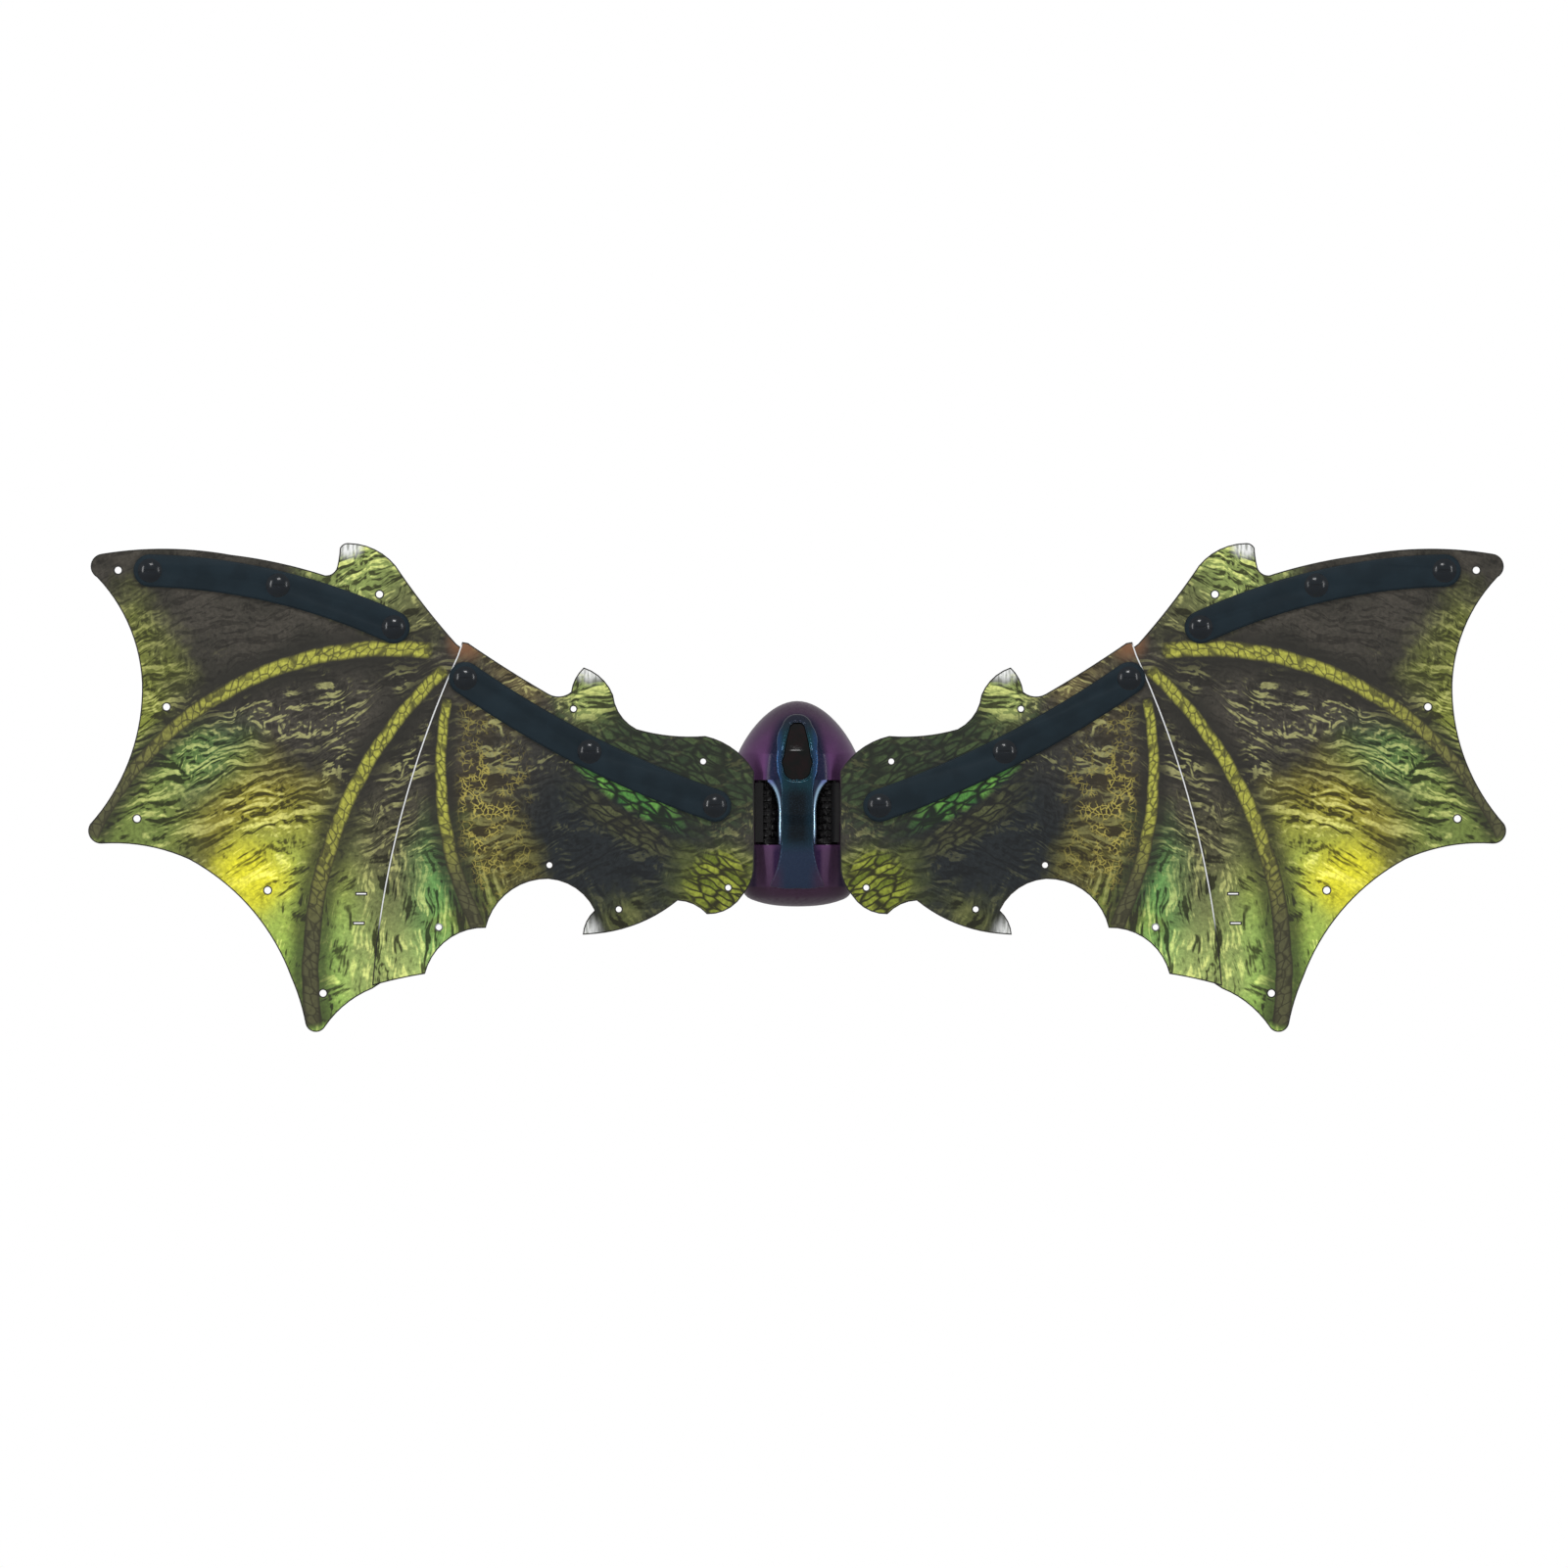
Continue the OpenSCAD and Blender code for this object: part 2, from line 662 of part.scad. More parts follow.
module front_shell() {
    color("#5b3a6b") difference() {
        intersection() {
            union() {
                difference() {
                    egg();
                    egg(-wall);
                }
                pocket([pocket_wall, ceiling_t, ceiling_t]);
                each_screw() y_rod(0, 0, -60, seam, boss_wall_r);
                for (s = [-1, 1]) translate([s * hinge_x, hinge_y, pin_z0 - 1.2])
                    cylinder(h = pocket_z0 - pin_z0, r = lug_r);
                for (s = [-1, 1]) y_rod(s * led_post_x, led_at[1], -60, led_board_y - led_board_t, 1.6);
            }
            egg();
            block([-80, -80, -80], [80, seam, 80]);
        }
        pocket([0, 0, 0]);
        for (s = [-1, 1]) {
            translate([s * hinge_x, hinge_y, pin_z0]) cylinder(h = 20, r = pin_r + eps);
            translate([s * hinge_x, hinge_y, pocket_z1 - 1]) cylinder(h = 5, r = hub_r + 0.4);
        }
        each_screw() y_rod(0, 0, head_seat - screw_len - 1, seam + 1, screw_r + eps);
        y_rod(led_at[0], led_at[1], -60, led_board_y - led_board_t - 1, led_r + 0.2);
    }
}

box_wall = 1.4;
cell_pitch = cell_d + 1.5;
box_x = (cells * cell_pitch) / 2;
box_y0 = -back_t - cell_d - 0.5;
box_z1 = -4.4;
box_z0 = box_z1 - cell_len - 2.5;
ledge = 1;
door_t = 1.8;
door_tab_r = 4.5;
door_screw_at = [16, box_z1 + ledge + 4];
strap_spots = [[12, 44, 16, 8], [32, -6, 7, 16]];   // [x, z, width, height] of the strap recesses
strap_deep = 5.6;
dish_z = 18;
dish = [16, 9, 1.2];

module strap_recess(p) {
    translate([p[0], 0, p[1]])
        block([-p[2] / 2, -strap_deep, -p[3] / 2], [p[2] / 2, 1, p[3] / 2]);
}

module strap_cup(p) {
    translate([p[0], 0, p[1]])
        block([-p[2] / 2 - box_wall, -strap_deep - box_wall, -p[3] / 2 - box_wall],
            [p[2] / 2 + box_wall, 0, p[3] / 2 + box_wall]);
}

// A bar across the middle of a recess, along its shorter way out.
module strap_bar(p) {
    translate([p[0], -strap_bar_d / 2 - 0.4, p[1]])
        if (p[2] > p[3]) rotate([0, 90, 0]) cylinder(h = p[2] + 2, r = strap_bar_d / 2, center = true);
        else cylinder(h = p[3] + 2, r = strap_bar_d / 2, center = true);
}

module each_strap() {
    for (p = strap_spots, s = [-1, 1]) side_of(s) {
        $spot = p;
        children();
    }
}

pcb_post = [[-13, 30], [13, 30]];
pcb_y = -6;

module back_tray() {
    intersection() {
        union() {
            difference() {
                egg(0, -90);
                intersection() {
                    egg(-wall, -90);
                    block([-80, -80, -80], [80, -back_t, 80]);
                }
            }
            each_screw() y_rod(0, 0, seam, 0, boss_wall_r);
            each_strap() strap_cup($spot);
        }
        egg(0, -90);
        block([-80, seam, -80], [80, 0, 80]);
    }
}

module back_shell() {
    color("#3a2646") difference() {
        union() {
            back_tray();
            block([-box_x - box_wall, box_y0 - box_wall, box_z0 - box_wall],
                [box_x + box_wall, -back_t / 2, box_z1 + box_wall]);
            y_rod(door_screw_at[0], door_screw_at[1], seam - 1, -back_t / 2, 4);
            for (p = pcb_post) y_rod(p[0], p[1], pcb_y, -back_t / 2, 2);
        }
        block([-box_x, box_y0, box_z0], [box_x, 1, box_z1]);
        block([-box_x - ledge, -door_t - slip / 2, box_z0 - ledge], [box_x + ledge, 1, box_z1 + ledge]);
        y_rod(door_screw_at[0], door_screw_at[1], -door_t - slip / 2, 1, door_tab_r + slip);
        y_rod(door_screw_at[0], door_screw_at[1], seam - 2, 1, screw_r + eps);
        each_screw() {
            y_rod(0, 0, seam - 1, 1, screw_r + 0.2);
            y_rod(0, 0, head_seat, 1, screw_head_r + 0.2);
        }
        each_strap() difference() {
            strap_recess($spot);
            strap_bar($spot);
        }
        block([-dish[0] / 2, -dish[2], dish_z - dish[1] / 2], [dish[0] / 2, 1, dish_z + dish[1] / 2]);
        block([-knob_w / 2 - switch_travel / 2 - slip, -5, dish_z - knob_h / 2 - slip],
            [knob_w / 2 + switch_travel / 2 + slip, 1, dish_z + knob_h / 2 + slip]);
    }
}

module battery_door() {
    color("#33213e") difference() {
        union() {
            block([-box_x - ledge + slip, -door_t, box_z0 - ledge + slip],
                [box_x + ledge - slip, 0, box_z1 + ledge - slip]);
            y_rod(door_screw_at[0], door_screw_at[1], -door_t, 0, door_tab_r);
            for (z = [0:5]) block([-8, -door_t - 0.4, box_z0 + 8 + 3 * z], [8, -door_t + eps, box_z0 + 9 + 3 * z]);
        }
        y_rod(door_screw_at[0], door_screw_at[1], -door_t - 1, 1, screw_r + 0.2);
        y_rod(door_screw_at[0], door_screw_at[1], -0.9, 1, screw_head_r + 0.1);
        for (z = [0:3]) block([-7, -0.5, box_z0 + 4 + 2.4 * z], [7, 1, box_z0 + 5.2 + 2.4 * z]);
    }
}

module screw(y_head, len, head_h) {
    y_rod(0, 0, y_head, y_head + head_h, screw_head_r);
    y_rod(0, 0, y_head - len, y_head + eps, screw_r);
}

module cross_slot(y_face) {
    block([-1.6, y_face - 0.7, -0.35], [1.6, y_face + 1, 0.35]);
    block([-0.35, y_face - 0.7, -1.6], [0.35, y_face + 1, 1.6]);
}

module door_screw() {
    color("silver") translate([door_screw_at[0], 0, door_screw_at[1]]) difference() {
        screw(-0.9, 7, 0.8);
        cross_slot(-0.1);
    }
}

module shell_screws() {
    color("silver") each_screw() difference() {
        screw(head_seat, screw_len, screw_head_h);
        cross_slot(head_seat + screw_head_h);
    }
}

cell_y = -back_t - cell_d / 2;
function cell_x(i) = (i - (cells - 1) / 2) * cell_pitch;

module aa_cells() {
    for (i = [0:cells - 1]) translate([cell_x(i), cell_y, box_z1 - cell_len - 0.45]) {
        color("gold") cylinder(h = cell_len - 1, r = cell_d / 2);
        color("silver") translate([0, 0, cell_len - 1 - eps]) cylinder(h = 1 + eps, r = 2.75);
    }
}

contact_t = 0.4;

module battery_contacts() {
    color("silver") for (i = [0:cells - 1]) translate([cell_x(i), cell_y, 0]) {
        block([-5, -5, box_z1 - contact_t], [5, 5, box_z1]);
        block([-5, -5, box_z0], [5, 5, box_z0 + contact_t]);
        block([-2, -2, box_z0], [2, 2, box_z0 + 2]);
    }
}

knob_w = 4;
knob_h = 4;
switch_y0 = -8;

module switch_body() {
    color("#202020") difference() {
        block([-7, switch_y0, dish_z - 3.2], [7, -back_t - seat, dish_z + 3.2]);
        block([-knob_w / 2 - switch_travel / 2 - 1 - slip, switch_y0 + 1.2, dish_z - knob_h / 2 - slip],
            [knob_w / 2 + switch_travel / 2 + 1 + slip, 0, dish_z + knob_h / 2 + slip]);
    }
}

module switch_slider() {
    x = -switch_travel / 2;
    color("#101010") {
        block([x - knob_w / 2 - 1, switch_y0 + 1.2 + seat, dish_z - knob_h / 2],
            [x + knob_w / 2 + 1, -back_t - 0.3, dish_z + knob_h / 2]);
        block([x - knob_w / 2, -back_t - 0.3 - eps, dish_z - knob_h / 2],
            [x + knob_w / 2, -0.4, dish_z + knob_h / 2]);
    }
}

module circuit_board() {
    color("darkgreen") difference() {
        block([-17, pcb_y - 1.6, 24], [17, pcb_y, 38]);
        for (p = pcb_post) y_rod(p[0], p[1], pcb_y - 3, pcb_y + 1, 0.9);
    }
    color("#181818") block([-5, pcb_y - 3.2, 30], [5, pcb_y - 1.6 + eps, 36]);
    color("#2a3c66") y_rod(-12, 34.5, pcb_y - 4.4, pcb_y - 1.6 + eps, 2.5);
    color("ivory") block([8, pcb_y - 4, 26], [15, pcb_y - 1.6 + eps, 32]);
}

module led_board() {
    color("darkgreen") difference() {
        block([-led_board[0] / 2, led_board_y - led_board_t, led_at[1] - led_board[1] / 2],
            [led_board[0] / 2, led_board_y, led_at[1] + led_board[1] / 2]);
        y_rod(0, led_at[1], -60, 0, 0.8);
    }
}

module led() {
    foot = led_board_y - led_board_t;
    color("white") {
        y_rod(0, led_at[1], foot - led_len, foot, led_r);
        y_rod(0, led_at[1], foot - 1, led_board_y + 1, 0.7);
    }
}

// Half outlines of the spine cover and of its teardrop window, mirrored about the centre.
spine_half = [
    [0, 57.5, 2.2], [9.5, 50.5, 1.6], [13, 36, 0.6], [13, 20, -0.8],
    [10.4, 6, 0], [10.4, -24, -1.6], [17.3, -51.5, 1], [15.5, -53.8, 0.6]
];
window_half = [[0, 52.6, 1.6], [5.6, 48.4, 0.4], [9.4, 30, 1.2], [9.4, 22.5, 3.2]];
spine_low = -54.6;
window_low = 14.9;

function mirrored(rows, low) =
    let (half = concat([for (i = [0:len(rows) - 1])
        let (a = rows[i], b = i + 1 < len(rows) ? rows[i + 1] : [0, low, 0])
        each bow_arc([a[0], a[1]], [b[0], b[1]], a[2])], [[0, low]]))
    concat(half, [for (i = [len(half) - 2:-1:1]) [-half[i][0], half[i][1]]]);

module spine_cover() {
    color("#12333f") difference() {
        intersection() {
            difference() {
                egg(spine_t);
                egg(seat);
            }
            plate(mirrored(spine_half, spine_low), -80, seam);
        }
        plate(mirrored(window_half, window_low), -80, 0);
    }
}

module head_lens() {
    color("#08090c") intersection() {
        difference() {
            egg(spine_t - 1.2);
            egg(seat);
        }
        translate([0, 0, lens_shift]) plate([for (p = mirrored(window_half, window_low)) p * lens_fit], -80, seam);
    }
}

lens_fit = 0.985;
lens_shift = (1 - lens_fit) * (52.6 + window_low) / 2;

back_shell();
battery_door();
door_screw();
aa_cells();
battery_contacts();
front_shell();
spine_cover();
head_lens();
led();
led_board();
shell_screws();
switch_body();
switch_slider();
circuit_board();
motor_can();
motor_pinion();
first_cluster();
second_cluster();
right_idler();
left_idler();
gearbox_frame();
gearbox_top_plate();
gear_axles();
right_hinge_pin();
left_hinge_pin();
right_arm();
left_arm();
inner_sheet(1);  // right_inner_sheet
inner_sheet(-1);  // left_inner_sheet
inner_bar(1);  // right_inner_bar
inner_bar(-1);  // left_inner_bar
inner_rivet_set(1);  // right_inner_rivets
inner_rivet_set(-1);  // left_inner_rivets
inner_cap_set(1);  // right_inner_caps
inner_cap_set(-1);  // left_inner_caps
outer_sheet(1);  // right_outer_sheet
outer_sheet(-1);  // left_outer_sheet
outer_bar(1);  // right_outer_bar
outer_bar(-1);  // left_outer_bar
outer_arm(1);  // right_outer_arm
outer_arm(-1);  // left_outer_arm
outer_rivet_set(1);  // right_outer_rivets
outer_rivet_set(-1);  // left_outer_rivets
outer_cap_set(1);  // right_outer_caps
outer_cap_set(-1);  // left_outer_caps
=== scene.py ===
# %% [markdown]
# # Motor-driven wing pack, dressed for the light
# The object is a small egg-shaped motor pack that carries a pair of two-panel sheet wings.
# The CAD model already holds every real part at its real size: shells, hinges, gears, bars and rivets.
# This lesson gives those parts their finishes and softens the edges that a moulding tool would leave round.
# All lengths are metres, in the same frame as the CAD: X to the wearer's side, -Y towards the viewer, Z up.

# %% Load the fixed frame
import bpy, json, math
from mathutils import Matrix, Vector


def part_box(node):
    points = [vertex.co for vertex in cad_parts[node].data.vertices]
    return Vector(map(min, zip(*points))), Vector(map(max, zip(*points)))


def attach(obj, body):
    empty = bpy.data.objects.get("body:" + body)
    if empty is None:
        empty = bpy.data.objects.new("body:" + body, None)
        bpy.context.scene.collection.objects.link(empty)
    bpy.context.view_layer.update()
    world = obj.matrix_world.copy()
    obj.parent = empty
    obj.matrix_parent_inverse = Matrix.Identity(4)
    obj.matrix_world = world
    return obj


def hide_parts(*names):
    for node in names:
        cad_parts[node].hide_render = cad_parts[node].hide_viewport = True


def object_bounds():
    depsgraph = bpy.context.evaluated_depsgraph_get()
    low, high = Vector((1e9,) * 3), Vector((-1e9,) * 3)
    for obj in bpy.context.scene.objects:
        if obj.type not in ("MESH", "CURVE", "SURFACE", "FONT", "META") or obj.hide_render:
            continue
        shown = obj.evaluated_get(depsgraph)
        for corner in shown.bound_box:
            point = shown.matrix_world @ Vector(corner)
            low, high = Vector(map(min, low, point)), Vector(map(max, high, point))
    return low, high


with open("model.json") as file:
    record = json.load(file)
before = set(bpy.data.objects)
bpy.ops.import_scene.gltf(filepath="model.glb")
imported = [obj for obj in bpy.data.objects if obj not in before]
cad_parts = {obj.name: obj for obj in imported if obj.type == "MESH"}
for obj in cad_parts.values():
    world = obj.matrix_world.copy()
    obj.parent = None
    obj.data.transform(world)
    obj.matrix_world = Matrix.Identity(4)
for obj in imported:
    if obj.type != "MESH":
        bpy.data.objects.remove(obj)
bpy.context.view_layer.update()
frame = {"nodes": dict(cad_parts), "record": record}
bodies = frame["record"]["behaviour"]["bodies"]
body_of = {node: body for body, nodes in bodies.items() for node in nodes}

# %% [markdown]
# ## A short way to write a finish
# A finish is a Principled shader with a chain of nodes in front of it. Linking nodes by hand takes many lines,
# so a small class keeps one material's tree and gives each common step a name: sums, blends, noise, ramps.
# Numbers that are the same all over go straight onto the shader's sockets, where other programs can read them.
# Patterns read Object coordinates, so they sit still on the part, and they are turned to millimetres at once.

# %% A helper that grows one material
class Finish:
    def __init__(self, name, **sockets):
        self.material = bpy.data.materials.new(name)
        self.material.use_nodes = True
        self.tree = self.material.node_tree
        self.shader = self.tree.nodes["Principled BSDF"]
        for socket, value in sockets.items():
            self.shader.inputs[socket.replace("_", " ")].default_value = value
        self.place = self.node("ShaderNodeTexCoord").outputs["Object"]
        self.mm = self.vector("SCALE", self.place, scale=1000)

    def put(self, socket, value):
        if isinstance(value, bpy.types.NodeSocket):
            self.tree.links.new(value, socket)
        elif isinstance(value, (tuple, list)) and len(value) == 3 and socket.type == "RGBA":
            socket.default_value = (*value, 1)
        else:
            socket.default_value = value

    def node(self, kind, inputs=(), **settings):
        made = self.tree.nodes.new(kind)
        for key, value in settings.items():
            setattr(made, key, value)
        for key, value in dict(inputs).items():
            self.put(made.inputs[key], value)
        return made

    def vector(self, operation, a, b=None, scale=None):
        made = self.node("ShaderNodeVectorMath", {0: a}, operation=operation)
        if b is not None:
            self.put(made.inputs[1], b)
        if scale is not None:
            self.put(made.inputs["Scale"], scale)
        return made.outputs["Value" if operation in ("LENGTH", "DISTANCE", "DOT_PRODUCT") else "Vector"]

    def math(self, operation, a, b=None, c=None, clamp=False):
        made = self.node("ShaderNodeMath", {0: a}, operation=operation, use_clamp=clamp)
        for at, value in ((1, b), (2, c)):
            if value is not None:
                self.put(made.inputs[at], value)
        return made.outputs[0]

    def split(self, vector):
        return self.node("ShaderNodeSeparateXYZ", {0: vector}).outputs

    def join(self, x, y, z=0.0):
        return self.node("ShaderNodeCombineXYZ", {0: x, 1: y, 2: z}).outputs[0]

    def span(self, value, low, high, to_low=0.0, to_high=1.0):
        made = self.node("ShaderNodeMapRange", {0: value, 1: low, 2: high, 3: to_low, 4: to_high},
                         interpolation_type="SMOOTHSTEP")
        return made.outputs[0]

    def blend(self, share, a, b, how="MIX"):
        made = self.node("ShaderNodeMix", data_type="RGBA", blend_type=how)
        self.put(made.inputs[0], share)
        self.put(made.inputs[6], a)
        self.put(made.inputs[7], b)
        return made.outputs[2]

    def noise(self, vector, scale, detail=3.0, rough=0.5, distort=0.0, kind="FBM"):
        made = self.node("ShaderNodeTexNoise", {"Vector": vector, "Scale": scale, "Detail": detail,
                                                "Roughness": rough, "Distortion": distort}, noise_type=kind)
        return made.outputs["Fac"]

    def warped(self, vector, scale, reach):
        made = self.node("ShaderNodeTexNoise", {"Vector": vector, "Scale": scale, "Detail": 2.0})
        push = self.vector("SUBTRACT", made.outputs["Color"], (0.5, 0.5, 0.5))
        return self.vector("ADD", vector, self.vector("SCALE", push, scale=reach))

    def cells(self, vector, scale, feature="F1", random=1.0):
        made = self.node("ShaderNodeTexVoronoi", {"Vector": vector, "Scale": scale, "Randomness": random},
                         feature=feature)
        return made.outputs

    def bump(self, height, depth, strength=1.0):
        made = self.node("ShaderNodeBump", {"Height": height, "Distance": depth, "Strength": strength})
        self.put(self.shader.inputs["Normal"], made.outputs[0])

    def colour(self, value):
        self.put(self.shader.inputs["Base Color"], value)
        return self.material

    def roughness(self, value):
        self.put(self.shader.inputs["Roughness"], value)

finishes = {}
print("finish helper ready")

# %% [markdown]
# ## Moulded plastics
# Most of the pack is injection-moulded. A mould leaves a faint orange-peel or spark texture, and its gloss drifts a little
# from place to place. One function makes them all: a colour that varies by a few percent over centimetres,
# a roughness that varies over millimetres, and a shallow bump. The grain sizes are in cells per millimetre.

# %% Moulded plastics, one function and its list
def moulded(slot, colour, rough, grain=2.0, depth=0.00002, shine=0.25, drift=0.12):
    f = Finish(slot, Specular_IOR_Level=shine)
    cloud = f.noise(f.mm, 0.06, 2.0)
    fleck = f.noise(f.mm, grain, 2.0)
    light = tuple(min(1, c * (1 + drift)) for c in colour)
    dark = tuple(c * (1 - drift) for c in colour)
    f.colour(f.blend(f.span(cloud, 0.35, 0.65), dark, light))
    f.roughness(f.span(fleck, 0.3, 0.7, rough - 0.05, rough + 0.05))
    f.bump(fleck, depth)
    finishes[slot] = f.material

moulded("back_plastic", (0.055, 0.035, 0.072), 0.55, 2.5, 0.00006, 0.15)
moulded("door_plastic", (0.048, 0.031, 0.062), 0.55, 2.5, 0.00006, 0.15)
moulded("bar_plastic", (0.0080, 0.0150, 0.0205), 0.45, 0.8, 0.00003, 0.10, 0.12)
moulded("arm_plastic", (0.0085, 0.008, 0.0085), 0.42, 1.2, 0.00003, 0.15)
moulded("rivet_plastic", (0.0025, 0.005, 0.008), 0.18, 0.6, 0.00002, 0.22)
moulded("cap_plastic", (0.006, 0.007, 0.009), 0.3, 0.8, 0.00002, 0.3)
moulded("switch_plastic", (0.012, 0.012, 0.013), 0.45)
moulded("gear_acetal", (0.72, 0.70, 0.64), 0.4, 1.5)
moulded("gearbox_plastic", (0.05, 0.05, 0.052), 0.5, 1.5)
moulded("board_green", (0.012, 0.10, 0.035), 0.35, 3.0)
moulded("led_resin", (0.80, 0.80, 0.76), 0.08, 0.5, 0.000005, 0.5)
print("plastics", sorted(finishes))

# %% [markdown]
# ## Bare metals
# Screws, pins, contacts, the motor can and its brass pinion are metal. A metal has no colour under its shine, so Metallic is 1
# and all its character is in the roughness. Turned and drawn parts show fine lines along the tool's path,
# which a noise stretched along one axis gives.

# %% Bare metals, one function and its list
def bare_metal(slot, colour, rough, stretch=(2.0, 2.0, 0.15)):
    f = Finish(slot, Metallic=1.0)
    lines = f.noise(f.vector("MULTIPLY", f.mm, stretch), 1.5, 3.0)
    patch = f.noise(f.mm, 0.2, 2.0)
    f.colour(f.blend(f.span(patch, 0.3, 0.7), tuple(0.85 * c for c in colour), colour))
    f.roughness(f.span(lines, 0.3, 0.7, rough - 0.08, rough + 0.08))
    f.bump(lines, 0.00001)
    finishes[slot] = f.material

bare_metal("screw_steel", (0.62, 0.62, 0.60), 0.34)
bare_metal("pin_steel", (0.66, 0.66, 0.67), 0.22)
bare_metal("contact_steel", (0.70, 0.69, 0.66), 0.28)
bare_metal("motor_metal", (0.56, 0.56, 0.57), 0.30, (2.0, 2.0, 0.1))
bare_metal("pinion_brass", (0.80, 0.58, 0.26), 0.26)
print("metals", len(finishes))

# %% [markdown]
# ## Battery cells
# A dry cell is a steel can in a printed film. Only a generic two-band film is drawn: a dark body and a copper band
# at the positive end. The cell's length runs along Z, so the band is a step in height.

# %% Printed film on the cells
def cell_film():
    f = Finish("cell_jacket", Metallic=0.6)
    height = f.split(f.mm)[2]
    low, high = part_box("aa_cells")
    band = f.span(height, high.z * 1000 - 16, high.z * 1000 - 15.6)
    f.colour(f.blend(band, (0.02, 0.02, 0.022), (0.62, 0.36, 0.14)))
    f.roughness(f.span(f.noise(f.mm, 0.4), 0.3, 0.7, 0.25, 0.35))
    finishes["cell_jacket"] = f.material

cell_film()

# %% [markdown]
# ## Colour-shift lacquer
# The pack is sprayed with a flip-flop lacquer: mica flakes that look violet on the flanks and turn teal and blue on the raised spine.
# A shader that followed the eye would slide in other views, so the shift is painted where it lies: by distance from the
# spine's centre line and by height. Painted shade is laid in as well, round the hood's base and below the hinge
# pockets, and the bright line down each neck fillet is a painted highlight. The flakes are a fine sparkle in the
# roughness and a hint of metal, under a clear coat.

# %% Lacquer for the shells and for the spine
def flakes(f):
    speck = f.cells(f.mm, 4.0)["Color"]
    return f.split(speck)[0]

def shell_lacquer():
    f = Finish("shell_paint", Metallic=0.75, Specular_IOR_Level=0.1, Coat_Weight=0.06, Coat_Roughness=0.1)
    x, y, z = f.split(f.mm)
    side = f.math("ABSOLUTE", x)
    violet = f.blend(f.span(f.noise(f.mm, 0.05), 0.3, 0.7), (0.062, 0.024, 0.074), (0.084, 0.032, 0.096))
    rim = f.blend(f.span(y, -22.0, -9.0), violet, (0.030, 0.020, 0.034))
    crown = f.blend(f.span(z, 34.0, 64.0), rim, (0.040, 0.022, 0.042))
    # Below the hinge pockets the shell is painted dark. This is painted shade for the shadow of the wing sheets and the
    # shade beside two pads, which keep a violet of their own.
    below = f.span(z, -24.0, -32.0)
    pad = f.math("MULTIPLY", f.span(side, 14.0, 17.0), f.span(side, 28.0, 25.0))
    painted_shade_below = f.blend(pad, (0.016, 0.006, 0.030), (0.060, 0.030, 0.066))
    foot = f.blend(below, crown, painted_shade_below)
    hem = f.blend(f.span(z, -52.5, -54.5), foot, (0.045, 0.022, 0.042))
    # A dark indigo band round the hood's base is painted shade, where an unmodelled concave fillet between hood and
    # shell would lie in shade.
    ring = f.vector("LENGTH", f.join(f.math("DIVIDE", side, 20.5), f.math("DIVIDE", f.math("SUBTRACT", z, 12.0), 51.0)))
    band = f.math("MULTIPLY", f.span(ring, 1.12, 0.86), f.span(y, -24.0, -32.0))
    hood_base_painted_shade = f.blend(band, hem, (0.004, 0.007, 0.022))
    speck = flakes(f)
    f.colour(f.blend(f.span(speck, 0.7, 1.0, 0.0, 0.2), hood_base_painted_shade, (0.16, 0.10, 0.19)))
    f.roughness(f.span(speck, 0.0, 1.0, 0.42, 0.52))
    finishes["shell_paint"] = f.material

def spine_lacquer():
    f = Finish("spine_paint", Metallic=0.7, Specular_IOR_Level=0.1, Coat_Weight=0.16, Coat_Roughness=0.05)
    x, y, z = f.split(f.mm)
    side = f.math("ABSOLUTE", x)
    cloud = f.span(f.noise(f.mm, 0.08), 0.3, 0.7)
    teal = f.blend(cloud, (0.003, 0.017, 0.028), (0.003, 0.028, 0.038))
    flank = f.blend(f.span(side, 8.0, 12.5), teal, (0.010, 0.034, 0.090))
    neck = f.blend(f.span(side, 3.0, 8.5), (0.0010, 0.0035, 0.0060), (0.003, 0.015, 0.026))
    body = f.blend(f.math("MULTIPLY", f.span(z, 14.0, 4.0), f.span(z, -32.0, -20.0)), flank, neck)
    foot = f.blend(f.span(z, -22.0, -34.0), body, (0.014, 0.024, 0.052))
    toe = f.blend(f.math("MULTIPLY", f.span(z, -34.0, -50.0), f.span(side, 6.0, 15.0)), foot, (0.036, 0.020, 0.048))
    hood = f.blend(f.span(z, 42.0, 56.0), toe, (0.008, 0.009, 0.020))
    speck = flakes(f)
    f.colour(f.blend(f.span(speck, 0.75, 1.0, 0.0, 0.15), hood, (0.07, 0.13, 0.20)))
    f.roughness(f.span(speck, 0.0, 1.0, 0.20, 0.28))
    finishes["spine_paint"] = f.material

def fillet_lacquer():
    f = Finish("fillet_paint", Metallic=0.9, Specular_IOR_Level=0.1, Coat_Weight=0.4, Coat_Roughness=0.04)
    x, y, z = f.split(f.mm)
    above = f.math("DIVIDE", f.math("MAXIMUM", f.math("ADD", z, 6.0), 0.0), 21.2)
    beside = f.math("DIVIDE", f.math("SUBTRACT", f.math("ABSOLUTE", x), 23.4), 11.2)
    inward = f.math("MULTIPLY", f.math("SUBTRACT", f.vector("LENGTH", f.join(above, beside)), 1.0), 11.2)
    # The pale ice-blue line along the fillet's rounded edge is a painted highlight; the rest of the fillet is dark
    # teal.
    painted_highlight_line = f.math("MULTIPLY", f.span(inward, 2.8, 1.3), f.span(z, -25.0, -14.0))
    painted_highlight_colour = f.blend(f.span(z, 9.0, 15.0), (0.24, 0.37, 0.50), (0.13, 0.17, 0.38))
    f.colour(f.blend(painted_highlight_line, (0.006, 0.014, 0.040), painted_highlight_colour))
    f.roughness(f.span(flakes(f), 0.0, 1.0, 0.16, 0.24))
    finishes["fillet_paint"] = f.material

